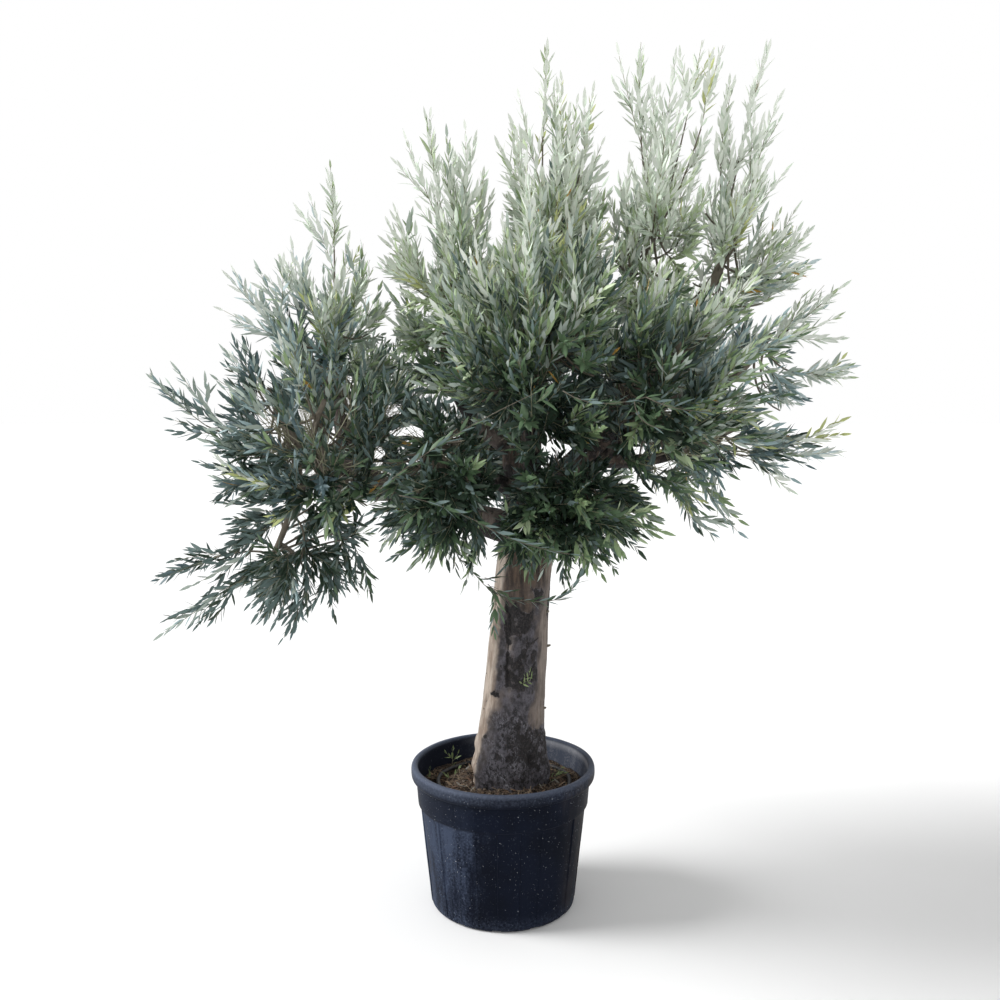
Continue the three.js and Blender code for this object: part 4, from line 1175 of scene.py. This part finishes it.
def leavesOn(curves, lengths, turns, dice, upward=0.45, size=1.0):
    # Opposite pairs along each shoot, every pair turned square to the last, and one leaf at the tip.
    # A leaf's direction is cosine of its lean along the shoot plus sine of it outwards; its face looks
    # up the shoot and in, and is then turned part of the way to the sky.
    count = len(curves)
    k = np.arange(growth["mostPairs"])
    gap = growth["pairGap"] * mix(0.85, 1.25, dice.random((count, 1)))
    share = (growth["firstPair"] + k) * gap / lengths[:, None]
    share = share + dice.normal(0, 0.004, share.shape)
    inUse = share < 0.97
    share = np.clip(share, 0, 0.98)
    point = onCurve(curves[:, None], share)
    tangent = alongCurve(curves[:, None], share)
    side = squareTo(tangent)
    other = np.cross(tangent, side)
    angle = turns[:, None] + k * math.pi / 2 + dice.normal(0, 0.3, share.shape)
    sets = []
    for sign in (1, -1):
        out = sign * (np.cos(angle)[..., None] * side + np.sin(angle)[..., None] * other)
        lean = mix(*growth["leafLean"], share) + dice.normal(0, 0.13, share.shape)
        grown = (0.78 + 0.3 * np.sin(math.pi * np.clip(share * 1.1, 0, 1))) * mix(1.0, 0.72, share ** 3)
        grown = grown * mix(0.82, 1.14, dice.random(share.shape))
        grown = grown * (dice.random(share.shape) > growth["fallen"])
        sets.append([v[inUse] for v in (point, tangent, out, lean, grown)] + [np.nonzero(inUse)[0]])
    tipOut = squareTo(alongCurve(curves, 0.99))
    sets.append([curves[:, 2], alongCurve(curves, 0.99), tipOut, dice.normal(0, 0.12, count),
                 mix(0.6, 0.85, dice.random(count)), np.arange(count)])
    point, tangent, out, lean, grown, shoot = (np.concatenate(column) for column in zip(*sets))
    some = grown > 0.3
    point, tangent, out, lean, grown, shoot = (v[some] for v in (point, tangent, out, lean, grown, shoot))
    lean = lean[:, None]
    way = unit(np.cos(lean) * tangent + np.sin(lean) * out + dice.normal(0, 0.07, out.shape))
    up = squared(np.sin(lean) * tangent - np.cos(lean) * out, way)
    sky = np.array((0, 0, 1.0)) - way * way[:, 2:3]
    up = up + upward * mix(0.2, 1.6, dice.random((len(up), 1))) * sky + dice.normal(0, 0.18, up.shape)
    up = squared(up, way)
    length = size * growth["leafLength"] * grown[:, None]
    width = length * growth["leafWidth"] * mix(0.85, 1.12, dice.random((len(up), 1)))
    curl = dice.normal(0.05, 0.07, (len(up), 1))
    return leafPoints(point, way, up, length, width, curl), shoot


# Leaf colours: the upper faces from silvery at the crown's top and rim to nearly black green within, partly
# the leaves' own tones and partly painted light and painted shade, then young and yellowed ones, and the
# bluer kinds of sage, olive and deep.
topTints = {
    "silver": (206, 218, 202), "sage": (173, 190, 152), "olive": (129, 151, 109), "deep": (84, 108, 78),
    "dusk": (42, 61, 45), "spring": (182, 190, 128), "autumn": (180, 140, 64),
    "haze": (188, 204, 206), "mist": (140, 162, 164), "storm": (84, 105, 110),
}
underTints = {"pale": (226, 231, 222), "grey": (178, 190, 180), "shade": (102, 121, 118)}


def tintOf(place, out, dice):
    # Brightness grows with height and with how far out a shoot stands, partly the leaves' own tone and
    # partly painted light above and painted shade within, and each shoot has some luck.
    # Returns the numbers of its leaves' colours above and below.
    x, height = place[:, 0], place[:, 2]
    bright = 0.62 * smooth(1.15, 2.5, height) + 0.32 * smooth(0.4, 1.0, out)
    bright = bright + dice.normal(0.03, 0.17, len(out))
    # Darker in the heart, as painted shade, and low on the left, brighter above both sides of the fork and
    # low in front.
    bright = bright - 0.26 * smooth(0.6, 0.3, np.abs(x - 0.05)) * hump(height - 1.7, 0.22)
    bright = bright + 0.12 * hump(x + 0.3, 0.35) * hump(height - 2.05, 0.3)
    bright = bright - 0.12 * hump(x - 0.2, 0.25) * hump(height - 2.08, 0.2)
    # Lighter at the top right and along the right side, away from the lamp: painted light.
    bright = bright + 0.14 * smooth(0.1, 0.5, x) * hump(height - 2.5, 0.25) + 0.06 * smooth(0.3, 0.7, x)
    bright = bright - 0.12 * smooth(-0.35, -0.75, x)
    bright = bright - 0.12 * smooth(-0.4, -0.7, x) * smooth(1.6, 1.4, height)
    bright = bright + 0.1 * smooth(1.62, 1.45, height) * smooth(-0.2, -0.5, place[:, 1]) * (x > 0)
    top = 4 - np.digitize(bright, (0.24, 0.42, 0.64, 0.86))
    top = np.where((dice.random(len(out)) < growth["young"]) & (bright > 0.5), 5, top)
    # At the crown's sides most sprays are bluer.
    blue = 0.8 * smooth(0.45, 0.8, np.abs(x - 0.05)) * smooth(2.6, 2.2, height + 0.3 * np.sign(x))
    bluer = (dice.random(len(out)) < blue) & (top > 0) & (top < 4)
    top = np.where(bluer, top + 6, top)
    return top, 2 - np.digitize(bright, (0.36, 0.66))


gaps = {
    "from": (3.35, 1.7),  # how far in front they fan out from, and at what height
    "size": 30,  # lumps of noise to the metre
    "level": 1.15,  # what the noise must pass for a gap
    "ease": 0.75,  # how much lower that is where the gaps are thickest
    "thickest": (-0.08, 0.2),  # height over the fan's own, and how fast they thin out from it
}


def inGap(p):
    # Small gaps through the crown's lower sides, where noise passes a level. They run from front to
    # back and fan out, so that the sky shows through every mass in the way.
    near, level = gaps["from"]
    fan = near / (near + p[..., 1])
    x, z = p[..., 0] * fan, (p[..., 2] - level) * fan
    left = between(x, -1.0, -0.8, -0.25, -0.05)
    right = between(x, 0.25, 0.4, 0.8, 0.95) * smooth(-0.22, -0.12, z)
    lumps = noise(np.stack([x, z, 0 * x], axis=-1) * gaps["size"], 2, 61)
    ease = gaps["ease"] * hump(z - gaps["thickest"][0], gaps["thickest"][1]) * (left + right)
    return lumps > gaps["level"] - ease


def growCrown():
    # Every mass's stem, twigs, shoots and leaves. Its leaves keep to its own space and out of the gaps.
    dice = np.random.default_rng(5)
    stems, twigs, shoots, shootThick = [], [], [], []
    leaves, tops, unders = [], [], []
    for number, mass in enumerate(masses):
        mass["way"] = unit(np.array(mass["grows"], float))
        mass["side"] = squareTo(mass["way"])
        mass["other"] = np.cross(mass["way"], mass["side"])
        curve, radiusAt = limbs[mass["on"]]
        out = alongCurve(curve, 1)
        start = curve[2]
        end = centres[number] + mass["way"] * radii[number] * 0.4
        mass["stem"] = np.array([start, start + out * 0.45 * np.linalg.norm(end - start), end])
        stems.append((mass["stem"], float(radiusAt(1)) * 0.9))
        grown = growTwigs(number, mass)
        twigs.append(grown[0])
        sprays = spraysOf(number, mass, *grown)
        curves, lengths, turns = shootsOf(number, mass, dice, *sprays)
        shoots.append(curves)
        shootThick.append(growth["shootRadius"] * mix(0.6, 1.15, lengths / growth["sprayLength"]))
        spots, shoot = leavesOn(curves, lengths, turns, dice)
        keep = free(number, spots[:, 7], growth["leafMargin"]) & np.all(inBox(spots), axis=1)
        keep = keep & ~np.any(inGap(spots[:, (0, 2, 5, 7)]), axis=1)
        middle = onCurve(curves, 0.6)
        top, under = tintOf(middle, outness(number, middle), dice)
        leaves.append(spots[keep])
        tops.append(np.where(dice.random(keep.sum()) < growth["yellow"], 6, top[shoot[keep]]))
        unders.append(under[shoot[keep]])
    grown = [np.concatenate(rows) for rows in (twigs, shoots, shootThick, leaves, tops, unders)]
    return stems, *grown


def leafLook(name, tint, roughness):
    # One colour, a little darker here and lighter there.
    look = Look(name)
    shade = look.blend(look.cloud(9, 2), paint(*tint, 0.86), paint(*tint, 1.14))
    return look.finish(shade, roughness)


def makeFoliage():
    # The wood and the shoots as tubes, and the leaves by colour, upper faces and undersides apart.
    stems, twigs, shoots, shootThick, leaves, tops, unders = growCrown()
    nodes = ["foliage_" + mass["name"] for mass in masses]
    wood = Look("twig_bark")
    grain = wood.cloud(70, 4)
    wood = wood.finish(wood.blend(grain, paint(76, 70, 62), paint(126, 118, 104)), 0.85, grain, 0.001)
    stemCurves = np.stack([stem for stem, _ in stems])
    stemThick = np.array([thick for _, thick in stems])
    stemParts = tubes(stemCurves, stemThick, np.full(len(stems), growth["stemEndRadius"]), 12, 12)
    addPiece("foliage_stems", *stemParts, wood, "bark", nodes)
    thick, thin = (np.full(len(twigs), growth[end]) for end in ("twigRadius", "twigTipRadius"))
    addPiece("foliage_twigs", *tubes(twigs, thick, thin, 5, 9), wood, "bark", nodes)
    green = Look("young_shoot")
    tone = green.cloud(30, 2)
    green = green.finish(green.blend(tone, paint(120, 118, 92), paint(158, 158, 134)), 0.7)
    addPiece("foliage_shoots", *tubes(shoots, shootThick, shootThick * 0.45, 3, 5), green, "leaves", nodes)
    for number, (name, tint) in enumerate(topTints.items()):
        mine = leaves[tops == number]
        look = leafLook("leaf_top_" + name, tint, 0.5)
        addPiece("leaf_tops_" + name, *leafTops(mine), look, "leaves", nodes)
        print("leaves", name, len(mine))
    for number, (name, tint) in enumerate(underTints.items()):
        look = leafLook("leaf_underside_" + name, tint, 0.75)
        mine = leafUndersides(leaves[unders == number])
        addPiece("leaf_undersides_" + name, *mine, look, "leaves", nodes)
    print("shoots", len(shoots), "leaves", len(leaves))


makeFoliage()
print("foliage ready")


# Small growth that belongs to no mass: shoots that hang across the trunk and under the left bough,
# a sprig and stubs on the trunk, and weeds in the pot. Every row is a curve's start, control and end.

small = {
    "hanging": [
        [(-0.2, -0.3, 1.4), (-0.165, -0.31, 1.28), (-0.085, -0.31, 1.215)],
        [(-0.085, -0.31, 1.215), (-0.02, -0.31, 1.13), (0.075, -0.31, 1.137)],
        [(0.075, -0.31, 1.137), (0.175, -0.31, 1.122), (0.215, -0.31, 1.172)],
        [(0.215, -0.31, 1.172), (0.24, -0.31, 1.2), (0.262, -0.31, 1.25)],
        [(-0.02, -0.31, 1.15), (-0.035, -0.32, 1.09), (-0.03, -0.32, 1.04)],
        [(-0.06, -0.31, 1.21), (-0.03, -0.32, 1.2), (0.0, -0.32, 1.24)],
        [(-0.05, -0.31, 1.19), (-0.02, -0.33, 1.16), (0.02, -0.33, 1.17)],
        [(-0.03, -0.31, 1.17), (-0.03, -0.33, 1.14), (-0.01, -0.33, 1.1)],
        [(-0.25, -0.12, 1.46), (-0.28, -0.16, 1.36), (-0.34, -0.18, 1.27)],
        [(-0.21, -0.12, 1.44), (-0.2, -0.16, 1.35), (-0.24, -0.18, 1.25)],
        [(-0.3, -0.1, 1.46), (-0.36, -0.12, 1.4), (-0.4, -0.12, 1.3)],
        [(-0.282, -0.76, 1.509), (-0.187, -0.76, 1.495), (-0.076, -0.76, 1.441)],
        [(-0.076, -0.76, 1.441), (0.04, -0.76, 1.365), (0.215, -0.74, 1.342)],
        [(-0.323, -0.84, 1.532), (-0.179, -0.84, 1.66), (0.074, -0.84, 1.778)],
        [(0.151, -0.84, 1.786), (0.23, -0.84, 1.73), (0.366, -0.84, 1.77)],
        [(0.366, -0.84, 1.77), (0.438, -0.84, 1.73), (0.549, -0.84, 1.732)],
        [(0.335, -0.84, 1.763), (0.34, -0.84, 1.698), (0.405, -0.84, 1.69)],
    ],
    "hangingThick": 0.0015,
    "thin": 0.0009,
    "stubThick": (0.006, 0.004),
    "weeds": [
        [(-0.262, 0.06, 0.41), (-0.27, 0.05, 0.436), (-0.266, 0.04, 0.456)],
        [(-0.19, 0.16, 0.41), (-0.188, 0.16, 0.45), (-0.186, 0.16, 0.488)],
        [(-0.188, 0.16, 0.45), (-0.2, 0.16, 0.458), (-0.21, 0.16, 0.472)],
        [(-0.188, 0.16, 0.44), (-0.175, 0.16, 0.453), (-0.168, 0.16, 0.468)],
        [(-0.19, 0.05, 0.41), (-0.196, 0.05, 0.426), (-0.208, 0.045, 0.436)],
        [(-0.18, 0.07, 0.41), (-0.17, 0.08, 0.43), (-0.162, 0.08, 0.442)],
        [(0.165, 0.0, 0.415), (0.18, -0.005, 0.445), (0.2, -0.01, 0.46)],
        [(0.17, 0.02, 0.415), (0.18, 0.02, 0.44), (0.215, 0.02, 0.448)],
        [(0.16, 0.05, 0.415), (0.18, 0.05, 0.44), (0.21, 0.055, 0.452)],
    ],
    "stubs": [(88, 0.918, 0.014), (74, 1.045, 0.008), (80, 0.7, 0.008)],  # turn, height, length
    "sprig": [(14, 0.81, 0.045), (24, 0.815, 0.04), (19, 0.825, 0.055)],
    "sunk": 0.012,  # how far both start inside the trunk
    "leaves": [(0.85, 1.8), (0.42, 0.45), (0.48, 0.45)],  # size and turn to the sky: hanging, weeds, sprig
}


def onTrunk(side, height):
    # The trunk's surface at so many degrees right of the front, and the direction straight out of it.
    t = (height - trunk["foot"][2]) / (trunk["tip"][2] - trunk["foot"][2])
    turn = math.radians(side - 90)
    out = np.array((math.cos(turn), math.sin(turn), 0.0))
    return onCurve(trunkCurve, t) + out * float(trunkRadius(t, turn)), out


def makeSmallGrowth(dice):
    # Each curve is a thin tube, and every one but the stubs has leaves.
    hanging = np.array(small["hanging"], float)
    weeds = np.array(small["weeds"], float)
    stubs, sprigs = [], []
    for rows, rise, curves in ((small["stubs"], 0.3, stubs), (small["sprig"], 0.9, sprigs)):
        for side, height, length in rows:
            place, out = onTrunk(side, height)
            way = unit(out + (0, 0, rise))
            curves.append([place - out * small["sunk"], place + out * length * 0.4, place + way * length])
    stubs, sprigs = np.array(stubs), np.array(sprigs)
    wood, green = bpy.data.materials["twig_bark"], bpy.data.materials["young_shoot"]
    thick, thin = (np.full(len(stubs), radius) for radius in small["stubThick"])
    addPiece("trunk_stubs", *tubes(stubs, thick, thin, 7, 4), wood, "bark")
    thick = np.full(len(hanging), small["hangingThick"])
    addPiece("hanging_shoots", *tubes(hanging, thick, thick * 0.6, 5, 7), wood, "bark")
    curves = np.concatenate([weeds, sprigs])
    thick = np.full(len(curves), small["thin"])
    addPiece("small_shoots", *tubes(curves, thick, thick * 0.6, 5, 7), green, "leaves")
    spots = []
    for rows, (size, upward) in zip((hanging, weeds, sprigs), small["leaves"]):
        length = np.linalg.norm(rows[:, 2] - rows[:, 0], axis=1)
        grown = leavesOn(rows, length, np.arange(len(rows)) * 1.9, dice, upward, size)[0]
        spots.append(grown[np.all(inBox(grown), axis=1)])
    wilds = np.concatenate(spots[1:])
    # The hanging leaves take the dark deep and shade tints: painted shade that keeps them from showing pale
    # where they face the lamp.
    top, under = bpy.data.materials["leaf_top_deep"], bpy.data.materials["leaf_underside_shade"]
    addPiece("hanging_leaf_tops", *leafTops(spots[0]), top, "leaves")
    addPiece("hanging_leaf_undersides", *leafUndersides(spots[0]), under, "leaves")
    fresh = Look("weed_green")
    shade = fresh.blend(fresh.cloud(40, 3), paint(104, 126, 84), paint(158, 174, 122))
    points, faces = joinParts([leafTops(wilds), leafUndersides(wilds)])
    addPiece("weed_leaves", points, faces, fresh.finish(shade, 0.6), "leaves")


makeSmallGrowth(np.random.default_rng(23))
print("small growth ready")
